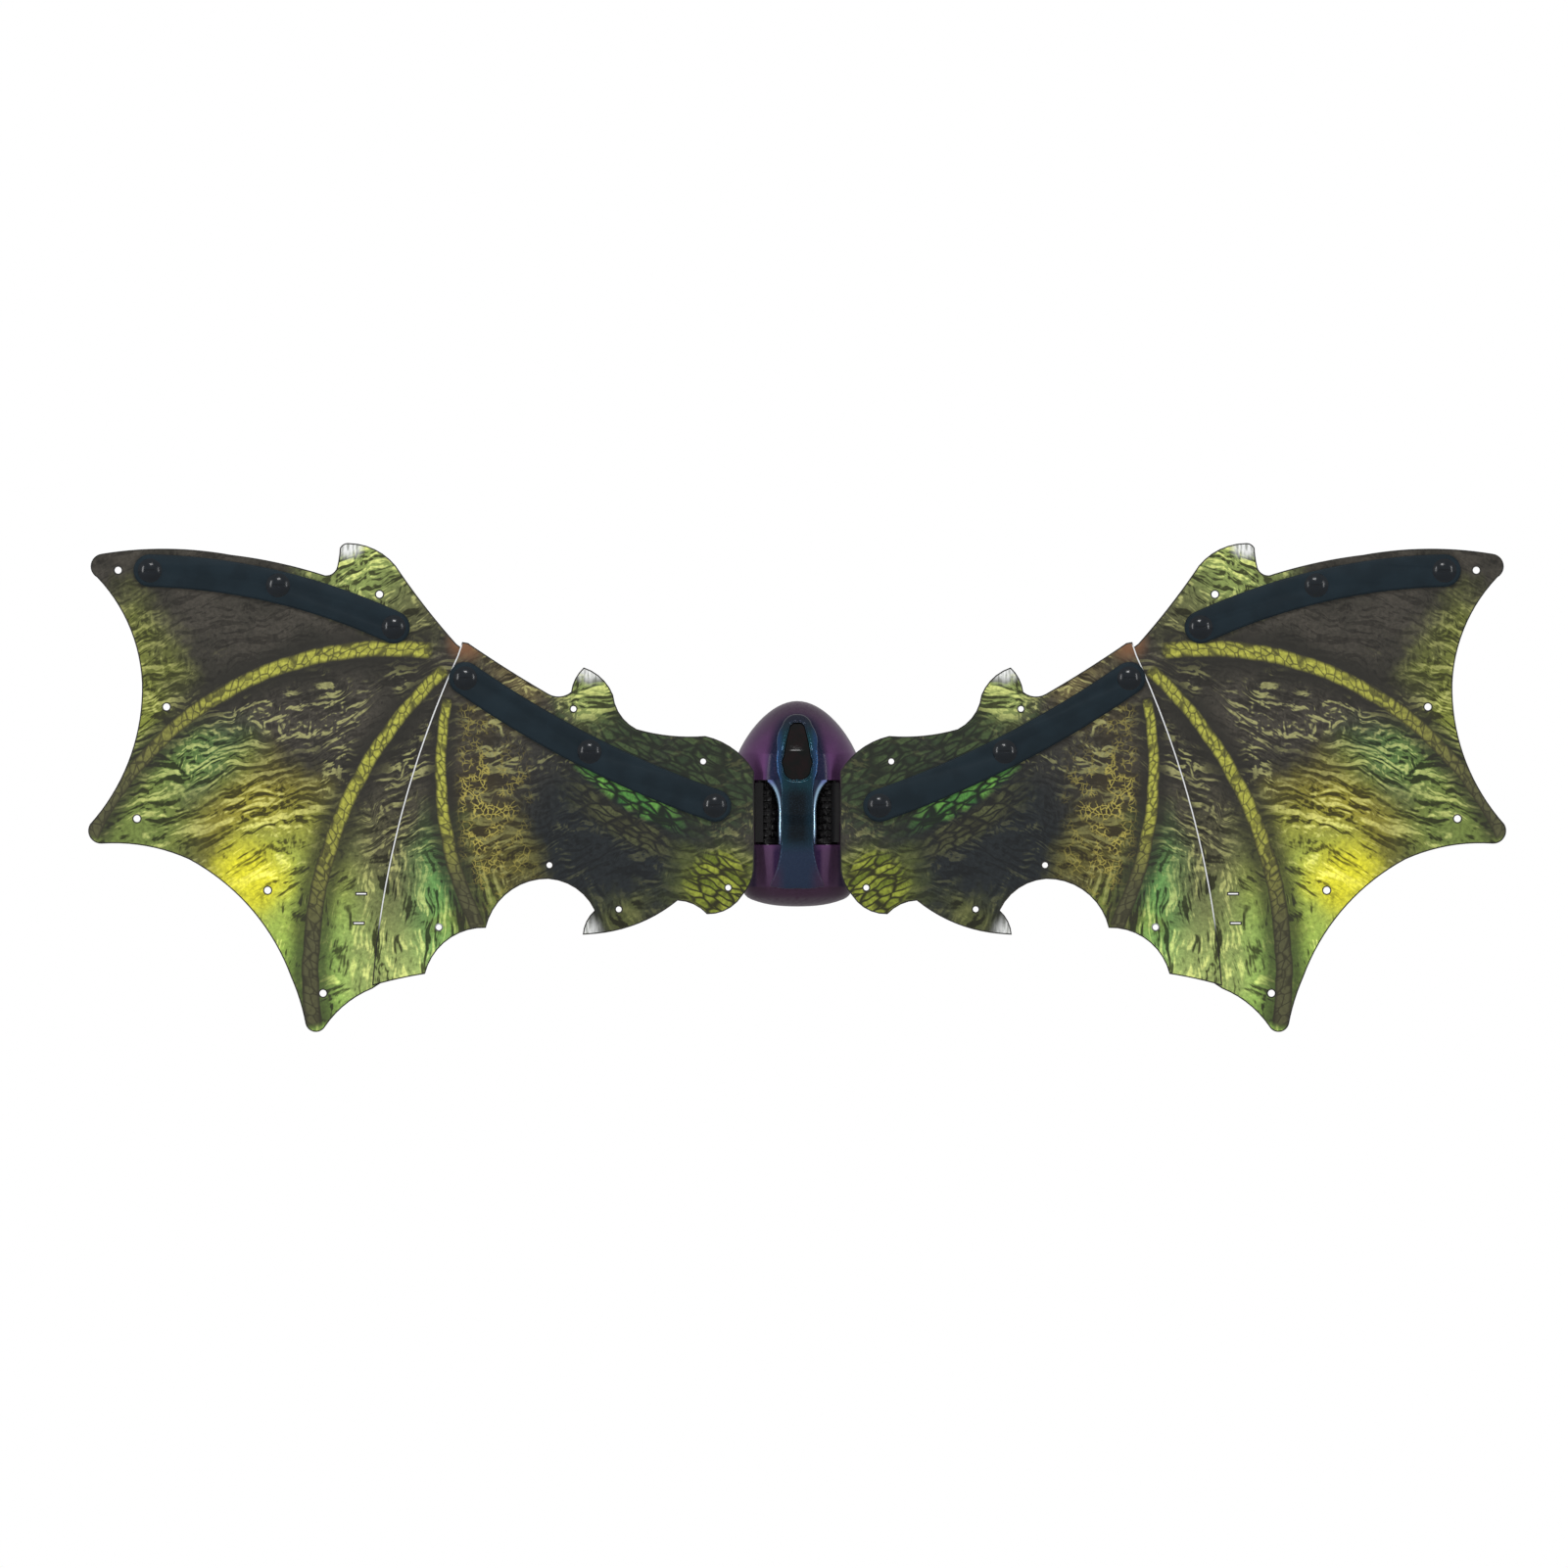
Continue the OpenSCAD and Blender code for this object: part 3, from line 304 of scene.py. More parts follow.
shell_lacquer()
spine_lacquer()
fillet_lacquer()
print("lacquers made")

# %% [markdown]
# ## Smoked window
# The lamp shines out through a small teardrop window of smoked plastic. It is almost black from outside and polished,
# so it needs little more than a dark body under a sharp clear surface, with a trace of warm and green drift inside.

# %% Smoked window
def smoked_window():
    f = Finish("smoked_lens", Specular_IOR_Level=0.12)
    cloud = f.noise(f.mm, 0.12, 3.0)
    f.colour(f.blend(f.span(cloud, 0.35, 0.65), (0.0012, 0.0022, 0.0020), (0.006, 0.0022, 0.0026)))
    f.roughness(f.span(f.noise(f.mm, 0.5), 0.3, 0.7, 0.06, 0.14))
    finishes["smoked_lens"] = f.material

smoked_window()
print("window made")

# %% [markdown]
# ## The printed wing sheets
# The wings are flat plastic sheet, die-cut and printed with a picture of leathery skin. The picture could be a bitmap,
# but a procedural print stays sharp at any distance and is the builder's own design. It is drawn in the wing's plane:
# u is the distance out from the centre and z the height, both in millimetres, so left and right mirror each other.
#
# The picture is layered as a painter would do it: a ground colour with soft patches of olive, yellow and green,
# then folds of skin with a lit side and a shaded side, then the finger bones, then scales and pale claws.
# A fold's light and shade come from the difference between the same noise read at two places a little apart.

# %% Print: the plane, the soft patches and the folds
wrist = (216.0, 84.0)

def patch(f, u, z, at, reach, soft=1.0, squash=1.0, wobble=None):
    du = f.math("SUBTRACT", u, at[0])
    dz = f.math("MULTIPLY", f.math("SUBTRACT", z, at[1]), squash)
    away = f.vector("LENGTH", f.join(du, dz))
    if wobble is not None:
        away = f.math("ADD", away, wobble)
    return f.span(away, reach * (1 + soft), reach * (1 - soft) if soft < 1 else 0.0)

def polar(f, u, z, centre):
    du, dz = f.math("SUBTRACT", u, centre[0]), f.math("SUBTRACT", z, centre[1])
    angle = f.math("ARCTAN2", dz, du)
    reach = f.vector("LENGTH", f.join(du, dz))
    return angle, reach

def folds(f, u, z):
    bent = f.split(f.warped(f.join(u, z), 0.020, 34.0))
    angle, reach = polar(f, bent[0], bent[1], wrist)
    fan = f.join(f.math("MULTIPLY", angle, 15.0), f.math("MULTIPLY", reach, 0.022))
    ribs = f.noise(fan, 1.0, 4.0, 0.5, 0.12)
    kinked = f.split(f.warped(f.join(bent[0], bent[1]), 0.075, 11.0))
    across = f.join(f.math("ADD", f.math("MULTIPLY", kinked[0], 0.036), f.math("MULTIPLY", kinked[1], 0.012)),
                    f.math("ADD", f.math("MULTIPLY", kinked[1], 0.105), f.math("MULTIPLY", kinked[0], 0.040)))
    creases = f.noise(across, 1.0, 4.0, 0.55, 0.3)
    low = f.span(f.math("ADD", z, f.math("MULTIPLY", u, -0.20)), -62.0, -108.0)
    return f.node("ShaderNodeMix", {0: low, 2: creases, 3: ribs}, data_type="FLOAT").outputs[0]

print("print helpers ready")

# %% [markdown]
# ### Finger bones
# A finger is a long gentle arc of a circle through three points: the knuckle, the middle and the tip.
# The distance to that circle gives the bone's cross-section, and the angle round it gives the distance along the bone,
# which sets the taper and the rings of hide that wrap it.

# %% Print: one finger bone
def circle_through(a, b, c):
    d = 2 * (a[0] * (b[1] - c[1]) + b[0] * (c[1] - a[1]) + c[0] * (a[1] - b[1]))
    sq = [p[0] ** 2 + p[1] ** 2 for p in (a, b, c)]
    x = (sq[0] * (b[1] - c[1]) + sq[1] * (c[1] - a[1]) + sq[2] * (a[1] - b[1])) / d
    y = (sq[0] * (c[0] - b[0]) + sq[1] * (a[0] - c[0]) + sq[2] * (b[0] - a[0])) / d
    return (x, y), math.hypot(a[0] - x, a[1] - y)

def finger(f, u, z, points, widths, fade):
    """Returns three shares: the bone itself, its lit crown, and the groove of shade beside it."""
    centre, radius = circle_through(*points)
    first, last = (math.atan2(p[1] - centre[1], p[0] - centre[0]) for p in (points[0], points[2]))
    turn = (last - first + math.pi) % (2 * math.pi) - math.pi
    way = 1 if turn > 0 else -1
    middle = first + turn / 2
    du, dz = f.math("SUBTRACT", u, centre[0]), f.math("SUBTRACT", z, centre[1])
    c, s = math.cos(middle), math.sin(middle)
    ahead = f.math("ADD", f.math("MULTIPLY", du, c), f.math("MULTIPLY", dz, s))
    aside = f.math("SUBTRACT", f.math("MULTIPLY", dz, c), f.math("MULTIPLY", du, s))
    angle = f.math("MULTIPLY", f.math("ARCTAN2", aside, ahead), way)
    along = f.math("MULTIPLY", f.math("ADD", angle, abs(turn) / 2), radius)
    length = abs(turn) * radius
    wander = f.math("MULTIPLY", f.math("SUBTRACT", f.noise(f.join(along, 7.0), 0.06, 2.0), 0.5), 3.0)
    off = f.math("ADD", f.math("SUBTRACT", f.vector("LENGTH", f.join(du, dz)), radius), wander)
    width = f.span(along, 0.0, length, widths[0], widths[1])
    across = f.math("DIVIDE", f.math("ABSOLUTE", off), width)
    here = f.math("MULTIPLY", f.span(along, -2.0, 3.0), f.span(along, length + 6.0, length))
    tilt = f.math("ADD", along, f.math("MULTIPLY", off, 0.5))
    plates = f.cells(f.join(f.math("MULTIPLY", tilt, 0.17), f.math("MULTIPLY", off, 0.15)), 1.0, "DISTANCE_TO_EDGE", 0.75)
    hide = f.noise(f.join(along, off), 0.3, 3.0)
    notch = f.math("MULTIPLY", f.span(plates["Distance"], 0.005, 0.11, 0.22, 1.0), f.span(hide, 0.28, 0.55, 0.55, 1.0))
    bone = f.math("MULTIPLY", f.span(across, 1.05, 0.85), here)
    crown = f.math("MULTIPLY", f.math("MULTIPLY", f.span(across, 1.0, 0.45), notch), here)
    live = f.span(along, length * fade[0], length * fade[1])
    groove = f.math("MULTIPLY", f.span(across, 3.6, 1.3), here)
    return bone, crown, groove, live

fingers = [
    (((236, 98), (352, 80), (452, -18)), (5.8, 4.4), (0.95, 0.40)),
    (((227, 86), (287, 6), (311, -140)), (4.6, 5.8), (0.80, 0.40)),
    (((225, 66), (229, 10), (206, -78)), (3.6, 5.0), (0.85, 0.45)),
]
print("finger arcs", [round(circle_through(*p)[1]) for p, w, s in fingers], "mm radius")

# %% [markdown]
# ### The whole print
# Ground, patches, folds, fingers, scales and claws are blended in that order. The sheet's surface is satin:
# a fine bump breaks up the reflection, and the print never changes the gloss by much.

# %% Print: all layers
def wing_picture():
    f = Finish("wing_print", Specular_IOR_Level=0.2)
    x, y, z = f.split(f.mm)
    u = f.math("ABSOLUTE", x)
    plane = f.join(u, z)
    soft = f.math("MULTIPLY", f.math("SUBTRACT", f.noise(plane, 0.022, 4.0, 0.6), 0.5), 60.0)

    height = folds(f, u, z)
    shifted = folds(f, f.math("SUBTRACT", u, 1.1), f.math("ADD", z, 1.6))
    relief = f.math("SUBTRACT", height, shifted)
    fine = f.noise(plane, 0.35, 4.0, 0.65)
    deep = f.blend(f.span(f.noise(plane, 0.03, 3.0), 0.35, 0.65), (0.026, 0.024, 0.019), (0.046, 0.041, 0.033))
    ground = f.blend(patch(f, u, z, (120, -28), 74, 0.5, 1.0, soft), deep, (0.011, 0.014, 0.016))

    glow = 0.0
    skin = ground
    for at, reach, tint, share, squash in (
            ((440, 44), 42, (0.20, 0.23, 0.035), 0.95, 0.7),
            ((386, 26), 30, (0.085, 0.16, 0.045), 0.9, 1.3),
            ((424, -14), 40, (0.14, 0.19, 0.045), 0.9, 1.0),
            ((346, -20), 38, (0.26, 0.23, 0.025), 0.95, 1.0),
            ((322, -70), 48, (0.33, 0.40, 0.070), 1.0, 1.0),
            ((355, -48), 22, (0.66, 0.62, 0.030), 0.95, 1.3),
            ((294, -108), 38, (0.27, 0.46, 0.085), 1.0, 1.0),
            ((244, -98), 46, (0.36, 0.46, 0.140), 1.0, 1.0),
            ((228, -62), 24, (0.13, 0.36, 0.090), 0.85, 0.6),
            ((262, -52), 26, (0.085, 0.080, 0.040), 0.7, 0.5),
            ((196, -34), 22, (0.12, 0.11, 0.020), 0.85, 0.8),
            ((206, -76), 20, (0.20, 0.25, 0.045), 0.9, 1.0),
            ((52, -52), 24, (0.13, 0.16, 0.026), 0.9, 1.0),
            ((132, 72), 20, (0.20, 0.25, 0.075), 0.95, 1.0),
            ((280, 150), 26, (0.22, 0.28, 0.080), 1.0, 1.0),
            ((254, 118), 20, (0.105, 0.110, 0.045), 0.7, 1.0),
            ((180, 86), 18, (0.15, 0.12, 0.050), 0.7, 0.6),
            ((112, -78), 16, (0.085, 0.095, 0.028), 0.8, 0.8)):
        weight = f.math("MULTIPLY", patch(f, u, z, at, reach, 0.75, squash, soft), share)
        skin = f.blend(weight, skin, tint)
        glow = f.math("MAXIMUM", weight, glow)

    # Lit crests and shaded troughs: strong where the skin is bright, faint over the dark ground.
    streaky = f.span(f.noise(plane, 0.028, 3.0), 0.44, 0.58, 0.0, 0.7)
    reachy = f.math("MAXIMUM", glow, f.math("MULTIPLY", streaky, f.span(z, 105.0, 70.0)))
    still = f.math("SUBTRACT", 1.0, f.math("MULTIPLY", patch(f, u, z, (357, -58), 14, 0.8), 0.7))
    quiet = f.math("SUBTRACT", 1.0, f.math("MULTIPLY", patch(f, u, z, (112, -22), 70, 0.4, 1.0, soft), 0.85))
    power = f.math("MULTIPLY", f.math("MULTIPLY", reachy, still), quiet)
    lit = f.math("MULTIPLY", f.span(relief, 0.012, 0.050), power)
    shaded = f.math("MULTIPLY", f.span(relief, -0.008, -0.042), f.span(glow, 0.0, 0.8, 0.5, 0.96))
    crest = f.blend(0.55, f.blend(1.0, skin, (2.4, 2.3, 1.9), "MULTIPLY"), (0.58, 0.58, 0.22))
    wrinkled = f.blend(lit, skin, crest)
    wrinkled = f.blend(f.math("MULTIPLY", shaded, still), wrinkled, f.blend(1.0, skin, (0.14, 0.13, 0.13), "MULTIPLY"))
    mottled = f.blend(1.0, wrinkled, f.blend(f.span(fine, 0.3, 0.7), (0.72, 0.72, 0.72), (1.26, 1.26, 1.26)), "MULTIPLY")

    # Crackle: a net of gold lines where the skin is drawn tight beside the inner finger.
    net = f.cells(f.warped(plane, 0.16, 6.0), 0.27, "DISTANCE_TO_EDGE", 1.0)["Distance"]
    tight = patch(f, u, z, (204, -10), 24, 0.7, 0.5, soft)
    broken = f.span(f.noise(plane, 0.11, 2.0), 0.42, 0.58)
    gold_net = f.math("MULTIPLY", f.math("MULTIPLY", f.span(net, 0.12, 0.02), broken), f.math("MULTIPLY", tight, f.span(u, 222.0, 214.0)))
    mottled = f.blend(f.math("MULTIPLY", tight, 0.6), mottled, (0.036, 0.027, 0.013))
    mottled = f.blend(f.math("MULTIPLY", gold_net, 0.9), mottled, (0.40, 0.34, 0.075))

    # Scales: rounded cells, each with a dark root and a light tip, over the shoulder and under the inner bar.
    bowed = f.split(f.warped(plane, 0.05, 9.0))
    turned = f.join(f.math("ADD", f.math("MULTIPLY", bowed[0], 0.135), f.math("MULTIPLY", bowed[1], -0.06)),
                    f.math("SUBTRACT", f.math("MULTIPLY", bowed[1], 0.25), f.math("MULTIPLY", bowed[0], 0.10)))
    cell = f.cells(turned, 0.85, "F1", 0.85)
    edge = f.cells(turned, 0.85, "DISTANCE_TO_EDGE", 0.85)["Distance"]
    tip = f.math("MULTIPLY", f.span(edge, 0.03, 0.22), f.span(fine, 0.30, 0.62, 0.35, 1.0))
    tone = f.split(cell["Color"])[0]
    green = f.blend(tone, (0.040, 0.16, 0.035), (0.17, 0.42, 0.075))
    khaki = f.blend(tone, (0.034, 0.034, 0.018), (0.095, 0.105, 0.042))
    moss = f.blend(tone, (0.022, 0.040, 0.018), (0.060, 0.095, 0.034))
    lime = f.blend(tone, (0.12, 0.16, 0.016), (0.32, 0.36, 0.045))
    middle = f.vector("LENGTH", f.join(f.math("SUBTRACT", u, 46), f.math("SUBTRACT", z, 128)))
    arc = f.math("SUBTRACT", middle, f.span(u, 60.0, 150.0, 142.0, 134.0))
    bay = f.math("MULTIPLY", f.span(u, 66.0, 96.0), f.span(u, 160.0, 124.0))
    crescent = f.math("MULTIPLY", f.span(f.math("ABSOLUTE", arc), 11.0, 4.0), bay)
    outer_row = f.math("MULTIPLY", f.span(f.math("ABSOLUTE", f.math("SUBTRACT", arc, 19.0)), 13.0, 5.0), bay)
    shoulder = f.math("MAXIMUM", patch(f, u, z, (54, 18), 38, 0.4), patch(f, u, z, (106, 44), 26, 0.4, 1.4))
    root = patch(f, u, z, (50, -54), 22, 0.3)

    def scaled(base, share, colour, dark):
        return f.blend(share, base, f.blend(tip, dark, colour))

    hide = scaled(mottled, f.math("MULTIPLY", outer_row, 0.85), khaki, (0.010, 0.010, 0.008))
    hide = scaled(hide, f.math("MULTIPLY", shoulder, 0.85), moss, (0.010, 0.014, 0.008))
    hide = scaled(hide, crescent, green, (0.006, 0.012, 0.006))
    hide = scaled(hide, root, lime, (0.020, 0.020, 0.006))

    for points, widths, fade in fingers:
        bone, crown, groove, live = finger(f, u, z, points, widths, fade)
        hide = f.blend(f.math("MULTIPLY", groove, 0.80), hide, (0.017, 0.016, 0.013))
        hide = f.blend(bone, hide, (0.026, 0.024, 0.015))
        gold = f.blend(live, (0.085, 0.085, 0.040), f.blend(f.span(fine, 0.35, 0.65), (0.26, 0.26, 0.040), (0.46, 0.46, 0.075)))
        hide = f.blend(f.math("MULTIPLY", crown, 0.95), hide, gold)

    streak = f.span(f.noise(f.vector("MULTIPLY", plane, (0.5, 0.12, 1)), 1.0, 3.0), 0.35, 0.6)
    for at, reach in (((289, 168), 9), ((133, 89), 10), ((141, -86), 13)):
        pale = patch(f, u, z, at, reach, 0.5)
        hide = f.blend(pale, hide, f.blend(streak, (0.30, 0.31, 0.29), (0.74, 0.75, 0.74)))

    rust = patch(f, u, z, (213, 104), 10, 0.6)
    hide = f.blend(f.math("MULTIPLY", rust, 0.75), hide, (0.20, 0.095, 0.045))

    across = f.math("ABSOLUTE", f.split(f.node("ShaderNodeTexCoord").outputs["Normal"])[1])
    cut = f.span(across, 0.8, 0.6)
    f.roughness(f.span(fine, 0.3, 0.7, 0.40, 0.50))
    f.bump(f.noise(f.mm, 1.4, 2.0), 0.00002)
    finishes["wing_print"] = f.colour(f.blend(cut, hide, (0.50, 0.51, 0.50)))

wing_picture()
print("print nodes", len(finishes["wing_print"].node_tree.nodes))

# %% [markdown]
# ### The margin of the print
# A die-cut sheet shows a thin dark margin, and where the inner panel laps over the outer one its cut edge catches the light
# as a pale line. The margin is a finish of its own, for a narrow ring of faces round each sheet.

# %% Print: the margin and the pale cut line
def sheet_margin():
    f = Finish("sheet_margin", Specular_IOR_Level=0.2)
    x, y, z = f.split(f.mm)
    u = f.math("ABSOLUTE", x)
    dark = f.blend(f.span(f.noise(f.mm, 0.1), 0.35, 0.65), (0.010, 0.010, 0.009), (0.024, 0.022, 0.018))
    lap = f.math("MULTIPLY", f.math("MULTIPLY", f.span(u, 214.5, 216.0), f.span(y, -43.6, -43.9)),
                 f.span(z, -84.0, -70.0))
    lap = f.math("MULTIPLY", lap, f.span(z, 103.5, 101.0))
    f.roughness(f.span(f.noise(f.mm, 1.0), 0.3, 0.7, 0.35, 0.45))
    finishes["sheet_margin"] = f.colour(f.blend(lap, dark, (0.62, 0.63, 0.64)))

sheet_margin()
print("margin made")

# %% [markdown]
# ## Giving every CAD node its finish
# Each CAD node carries one material, named after its slot. It is swapped for the finish of the same name.

# %% Swap each node's material
slot_of = {}
for name, node in frame["nodes"].items():
    slot_of[name] = node.material_slots[0].material.name.split(".")[0]
    node.material_slots[0].material = finishes[slot_of[name]]
print(len(slot_of), "nodes dressed")

# %% [markdown]
# ## Softened copies
# A CAD node keeps its shape, but its mesh is loose triangles, so a lacquer on it shows every facet, and its edges are knife-sharp.
# For each part that can be seen, a copy is made, its doubles are merged and its flat faces are dissolved into large ones.
# A narrow bevel then rounds the edges as a mould does, and smoothing by angle keeps the flats flat.

# %% Copy, merge, bevel and smooth
def only(obj):
    bpy.ops.object.select_all(action="DESELECT")
    obj.select_set(True)
    bpy.context.view_layer.objects.active = obj

def copy_of(node, name):
    only(frame["nodes"][node])
    bpy.ops.object.duplicate()
    made = bpy.context.view_layer.objects.active
    made.name = made.data.name = name
    bpy.ops.object.mode_set(mode="EDIT")
    bpy.ops.mesh.select_all(action="SELECT")
    bpy.ops.mesh.remove_doubles(threshold=0.000002)
    bpy.ops.mesh.dissolve_limited(angle_limit=math.radians(0.6))
    bpy.ops.mesh.select_all(action="DESELECT")
    bpy.ops.object.mode_set(mode="OBJECT")
    return made

def settle(made, node):
    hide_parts(node)
    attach(made, body_of[node])
    return made

def bevelled(made, width, segments=2, angle=28):
    only(made)
    edge = made.modifiers.new("edge", "BEVEL")
    edge.width, edge.segments, edge.limit_method = width, segments, "ANGLE"
    edge.angle_limit = math.radians(angle)
    edge.use_clamp_overlap = True
    edge.harden_normals = False
    bpy.ops.object.modifier_apply(modifier="edge")

def smoothed(made, angle=32):
    only(made)
    bpy.ops.object.shade_smooth_by_angle(angle=math.radians(angle))

for node, width in (("front_shell", 0), ("back_shell", 0), ("battery_door", 0.0004), ("switch_slider", 0.0003)):
    made = copy_of(node, node + "_soft")
    if width:
        bevelled(made, width)
    smoothed(made)
    settle(made, node)
    print(made.name, len(made.data.polygons), "faces")

# %% [markdown]
# ## Bars, rivets and arms
# The flat bars that stiffen each panel have a small step along their edge, the rivets are glossy domes with a driver slot,
# and the arms behind carry the wing's load. All of them are repeated left and right, so one loop softens them.

# %% Bars, rivets, caps and arms
for side in ("right", "left"):
    for part, width in (("inner_bar", 0.0005), ("outer_bar", 0.0005), ("inner_rivets", 0.0003),
                        ("outer_rivets", 0.0003), ("inner_caps", 0.0002), ("outer_caps", 0.0002),
                        ("outer_arm", 0.0004), ("arm", 0)):
        node = f"{side}_{part}"
        made = copy_of(node, node + "_soft")
        if width:
            bevelled(made, width)
        smoothed(made)
        settle(made, node)
    print(side, "set done")

# %% [markdown]
# ## The spine cover
# The spine cover is a raised, glossy moulding that stands on the shell like a cobra's hood. On the real part its front edge is
# fully rounded, and that round edge is what catches the long highlights down the neck. The CAD cover has a sharp edge on a curved
# front, where a wide bevel would tangle. So the copy is recast in half-millimetre cubes and its points are rubbed smooth,
# the way a pattern maker sands a master, which rounds every edge by about two millimetres.

# %% Round the spine cover
def recast(made, cube, passes):
    only(made)
    cast = made.modifiers.new("cast", "REMESH")
    cast.mode, cast.voxel_size = "VOXEL", cube
    bpy.ops.object.modifier_apply(modifier="cast")
    rub = made.modifiers.new("rub", "SMOOTH")
    rub.factor, rub.iterations = 0.5, passes
    bpy.ops.object.modifier_apply(modifier="rub")
    bpy.ops.object.shade_smooth()

spine = copy_of("spine_cover", "spine_cover_round")
recast(spine, 0.0005, 18)
settle(spine, "spine_cover")
print(spine.name, len(spine.data.polygons), "faces")

# %% [markdown]
# ## The neck fillets
# Beside the neck the shell runs into each hinge pocket in a long concave curve, wide at the top and narrow below, with
# a round edge. The bright line along that edge is a painted highlight in the fillet's finish, and the side lamps'
# reflection adds to it. Each fillet is a block with an oval bite taken out of it by a Boolean, and then a wide bevel on
# the edge between its front and the bite. One is modelled and the other is its mirror.

# %% Two fillets beside the neck
def select_edges(obj, wanted):
    bpy.ops.object.mode_set(mode="EDIT")
    bpy.ops.mesh.select_mode(type="EDGE")
    bpy.ops.mesh.select_all(action="DESELECT")
    bpy.ops.object.mode_set(mode="OBJECT")
    count = 0
    for edge in obj.data.edges:
        a, b = (obj.data.vertices[i].co for i in edge.vertices)
        edge.select = bool(wanted(a, b))
        count += edge.select
    bpy.ops.object.mode_set(mode="EDIT")
    return count

def select_vertices(obj, wanted):
    bpy.ops.object.mode_set(mode="EDIT")
    bpy.ops.mesh.select_mode(type="VERT")
    bpy.ops.mesh.select_all(action="DESELECT")
    bpy.ops.object.mode_set(mode="OBJECT")
    for point in obj.data.vertices:
        point.select = bool(wanted(point.co))
    bpy.ops.object.mode_set(mode="EDIT")

def neck_fillet(way, name):
    bpy.ops.object.select_all(action="DESELECT")
    bpy.ops.mesh.primitive_cube_add(size=1, location=(0.0145, -0.0449, -0.0054))
    block = bpy.context.object
    block.name = block.data.name = name
    block.scale = (0.0090, 0.0032, 0.0412)
    bpy.ops.object.transform_apply(location=True, scale=True)
    bpy.ops.mesh.primitive_cylinder_add(vertices=128, radius=1, depth=0.02, location=(0.0234, -0.045, -0.006),
                                        rotation=(math.radians(90), 0, 0))
    bite = bpy.context.object
    bite.scale = (0.0112, 0.0212, 1)
    bpy.ops.object.transform_apply(location=True, rotation=True, scale=True)
    select_vertices(bite, lambda p: p.z < -0.0061)
    bpy.ops.transform.translate(value=(0, 0, -0.030))
    bpy.ops.object.mode_set(mode="OBJECT")
    only(block)
    cut = block.modifiers.new("cut", "BOOLEAN")
    cut.operation, cut.object = "DIFFERENCE", bite
    bpy.ops.object.modifier_apply(modifier="cut")
    bpy.data.objects.remove(bite)
    found = select_edges(block, lambda a, b: max(a.y, b.y) < -0.0465 and min(a.x, b.x) > 0.0104 and max(a.z, b.z) < 0.01515 and min(a.z, b.z) > -0.0265
                         and abs(a.z - b.z) > 0.00002)
    bpy.ops.mesh.bevel(offset=0.0024, segments=8, affect="EDGES")
    bpy.ops.object.mode_set(mode="OBJECT")
    if way < 0:
        block.scale = (-1, 1, 1)
        bpy.ops.object.transform_apply(scale=True)
        bpy.ops.object.mode_set(mode="EDIT")
        bpy.ops.mesh.select_all(action="SELECT")
        bpy.ops.mesh.normals_make_consistent(inside=False)
        bpy.ops.object.mode_set(mode="OBJECT")
    block.data.materials.append(finishes["fillet_paint"])
    smoothed(block, 40)
    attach(block, body_of["front_shell"])
    print(name, found, "edges rounded", len(block.data.polygons), "faces")
    return block

neck_fillet(1, "right_neck_fillet")
neck_fillet(-1, "left_neck_fillet")

# %% [markdown]
# ## The window and its rim
# The smoked window sits a little below the hood, inside a thin polished rim. The rim follows the window's own outline:
# the outline of the window's front is taken off a copy as a loop of edges, turned into a curve and given a round section.

# %% Window and rim
rim = copy_of("head_lens", "window_rim")
lens = copy_of("head_lens", "head_lens_smooth")
recast(lens, 0.0005, 6)
settle(lens, "head_lens")

only(rim)
bpy.ops.object.mode_set(mode="EDIT")
bpy.ops.mesh.select_mode(type="FACE")
bpy.ops.object.mode_set(mode="OBJECT")
for face in rim.data.polygons:
    face.select = face.normal.y < -0.5
bpy.ops.object.mode_set(mode="EDIT")
bpy.ops.mesh.select_all(action="INVERT")
bpy.ops.mesh.delete(type="FACE")
bpy.ops.mesh.select_all(action="SELECT")
bpy.ops.mesh.region_to_loop()
bpy.ops.mesh.select_all(action="INVERT")
bpy.ops.mesh.delete(type="EDGE")
bpy.ops.mesh.select_all(action="SELECT")
bpy.ops.transform.translate(value=(0, -0.0007, 0))
bpy.ops.object.mode_set(mode="OBJECT")
bpy.ops.object.convert(target="CURVE")
rim.data.bevel_depth, rim.data.bevel_resolution = 0.0005, 3
bpy.ops.object.convert(target="MESH")
rim = bpy.context.view_layer.objects.active
rim.data.materials.clear()
rim.data.materials.append(finishes["spine_paint"])
bpy.ops.object.shade_smooth()
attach(rim, body_of["spine_cover"])
print("rim", len(rim.data.polygons), "faces")

# %% [markdown]
# ## The sheets
# The sheets stay as flat as the real ones. A copy of each gets a ring of narrow faces along every edge, by an inset
# of the whole front and back, and that ring takes the margin's finish.

# %% Inset a margin into each sheet
for side in ("right", "left"):
    for part in ("inner_sheet", "outer_sheet"):
        node = f"{side}_{part}"
        sheet = copy_of(node, node + "_printed")
        sheet.data.materials.append(finishes["sheet_margin"])
        only(sheet)
        for way in (-1, 1):
            bpy.ops.object.mode_set(mode="EDIT")
            bpy.ops.mesh.select_mode(type="FACE")
            bpy.ops.mesh.select_all(action="DESELECT")
            bpy.ops.object.mode_set(mode="OBJECT")
            for face in sheet.data.polygons:
                face.select = face.normal.y * way > 0.9
            flat = set(f.index for f in sheet.data.polygons if f.select)
            bpy.ops.object.mode_set(mode="EDIT")
            bpy.ops.mesh.inset(thickness=0.0008, depth=0)
            bpy.ops.object.mode_set(mode="OBJECT")
            for face in sheet.data.polygons:
                if face.normal.y * way > 0.9 and not face.select:
                    face.material_index = 1
        settle(sheet, node)
        print(sheet.name, sum(f.material_index for f in sheet.data.polygons), "margin faces")

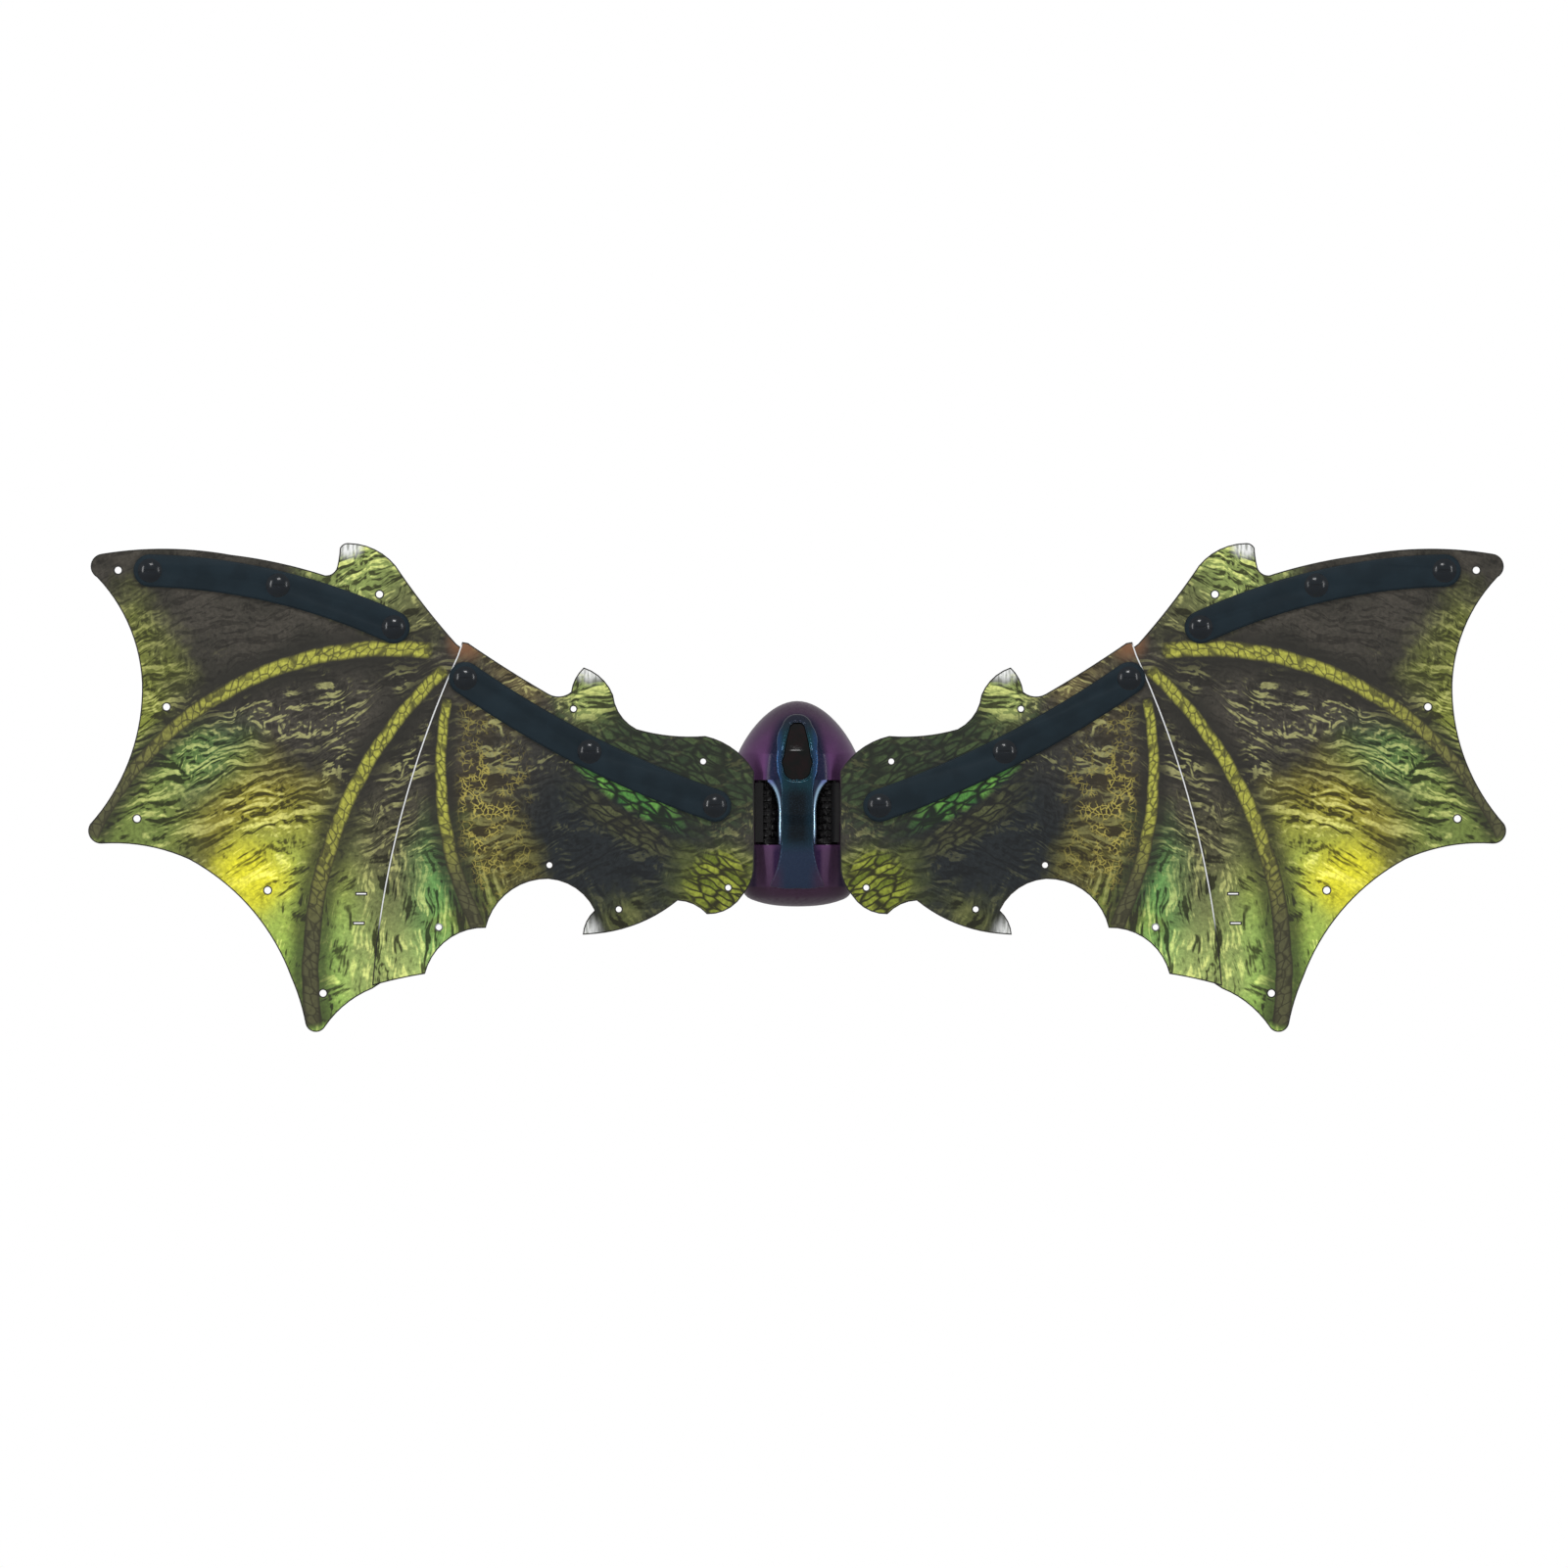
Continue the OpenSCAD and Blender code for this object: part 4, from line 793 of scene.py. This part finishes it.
# %% [markdown]
# ## Stage
# A pale floor lies under the lowest point of the wings. The world is white for the camera and for reflections, and softer as a lamp.
# Two large soft boxes stand in front, one at each side, and a smaller one above gives the rivets their glints.

# %% Floor and world
low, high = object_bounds()
bpy.ops.object.select_all(action="DESELECT")
bpy.ops.mesh.primitive_plane_add(size=8, location=(0, 0, low.z - 0.002))
floor = bpy.context.object
floor.name = "floor"
bpy.ops.object.transform_apply(location=True)
floor_finish = Finish("floor_white", Specular_IOR_Level=0.0, Roughness=1.0)
floor_finish.colour(floor_finish.blend(floor_finish.span(floor_finish.noise(floor_finish.place, 2.0), 0.3, 0.7),
                                       (0.90, 0.90, 0.90), (0.92, 0.92, 0.92)))
floor.data.materials.append(floor_finish.material)

world = bpy.data.worlds.new("studio")
bpy.context.scene.world = world
world.use_nodes = True
tree = world.node_tree
back = tree.nodes["Background"]
back.inputs["Color"].default_value = (1, 1, 1, 1)
path = tree.nodes.new("ShaderNodeLightPath")
seen = path.outputs["Is Camera Ray"]
for ray in ("Is Glossy Ray", "Is Transmission Ray"):
    either = tree.nodes.new("ShaderNodeMath")
    either.operation = "MAXIMUM"
    tree.links.new(seen, either.inputs[0])
    tree.links.new(path.outputs[ray], either.inputs[1])
    seen = either.outputs[0]
level = tree.nodes.new("ShaderNodeMapRange")
tree.links.new(seen, level.inputs[0])
level.inputs[3].default_value = 0.48
level.inputs[4].default_value = 1.0
tree.links.new(level.outputs[0], back.inputs["Strength"])
print("floor at", round(low.z - 0.002, 4))

# %% [markdown]
# The lamps are large soft boxes, so their reflections have soft edges.
# One stands on each side, and its reflection joins the painted highlight lines down the neck fillets.
# A third one above the camera lifts the wings a little.

# %% Lamps
def soft_box(name, place, aim, size, watts):
    bpy.ops.object.light_add(type="AREA", location=place)
    lamp = bpy.context.object
    lamp.name = name
    lamp.data.shape = "RECTANGLE"
    lamp.data.size, lamp.data.size_y = size
    lamp.data.energy = watts
    lamp.rotation_mode = "QUATERNION"
    lamp.rotation_quaternion = (Vector(aim) - Vector(place)).to_track_quat("-Z", "Y")
    return lamp

soft_box("box_left", (-1.9, -1.3, 0.4), (0, 0, 0), (0.20, 1.5), 18)
soft_box("box_right", (1.9, -1.3, 0.4), (0, 0, 0), (0.12, 1.4), 13)
soft_box("box_top", (-0.1, -1.5, 1.6), (0, 0, 0), (0.6, 0.25), 18)
print("lamps placed")

# %% [markdown]
# The camera looks straight at the front, with no perspective.
# An orthographic view keeps both wings the same size and makes proportions easy to judge.

# %% Camera
bpy.ops.object.camera_add(location=(-0.0085, -3.0, 0.0126), rotation=(math.radians(90), 0, 0))
camera = bpy.context.object
camera.data.type = "ORTHO"
camera.data.ortho_scale = 1.0086
camera.data.clip_end = 20
bpy.context.scene.camera = camera
bpy.context.scene.view_settings.view_transform = "Standard"
print("camera ready")
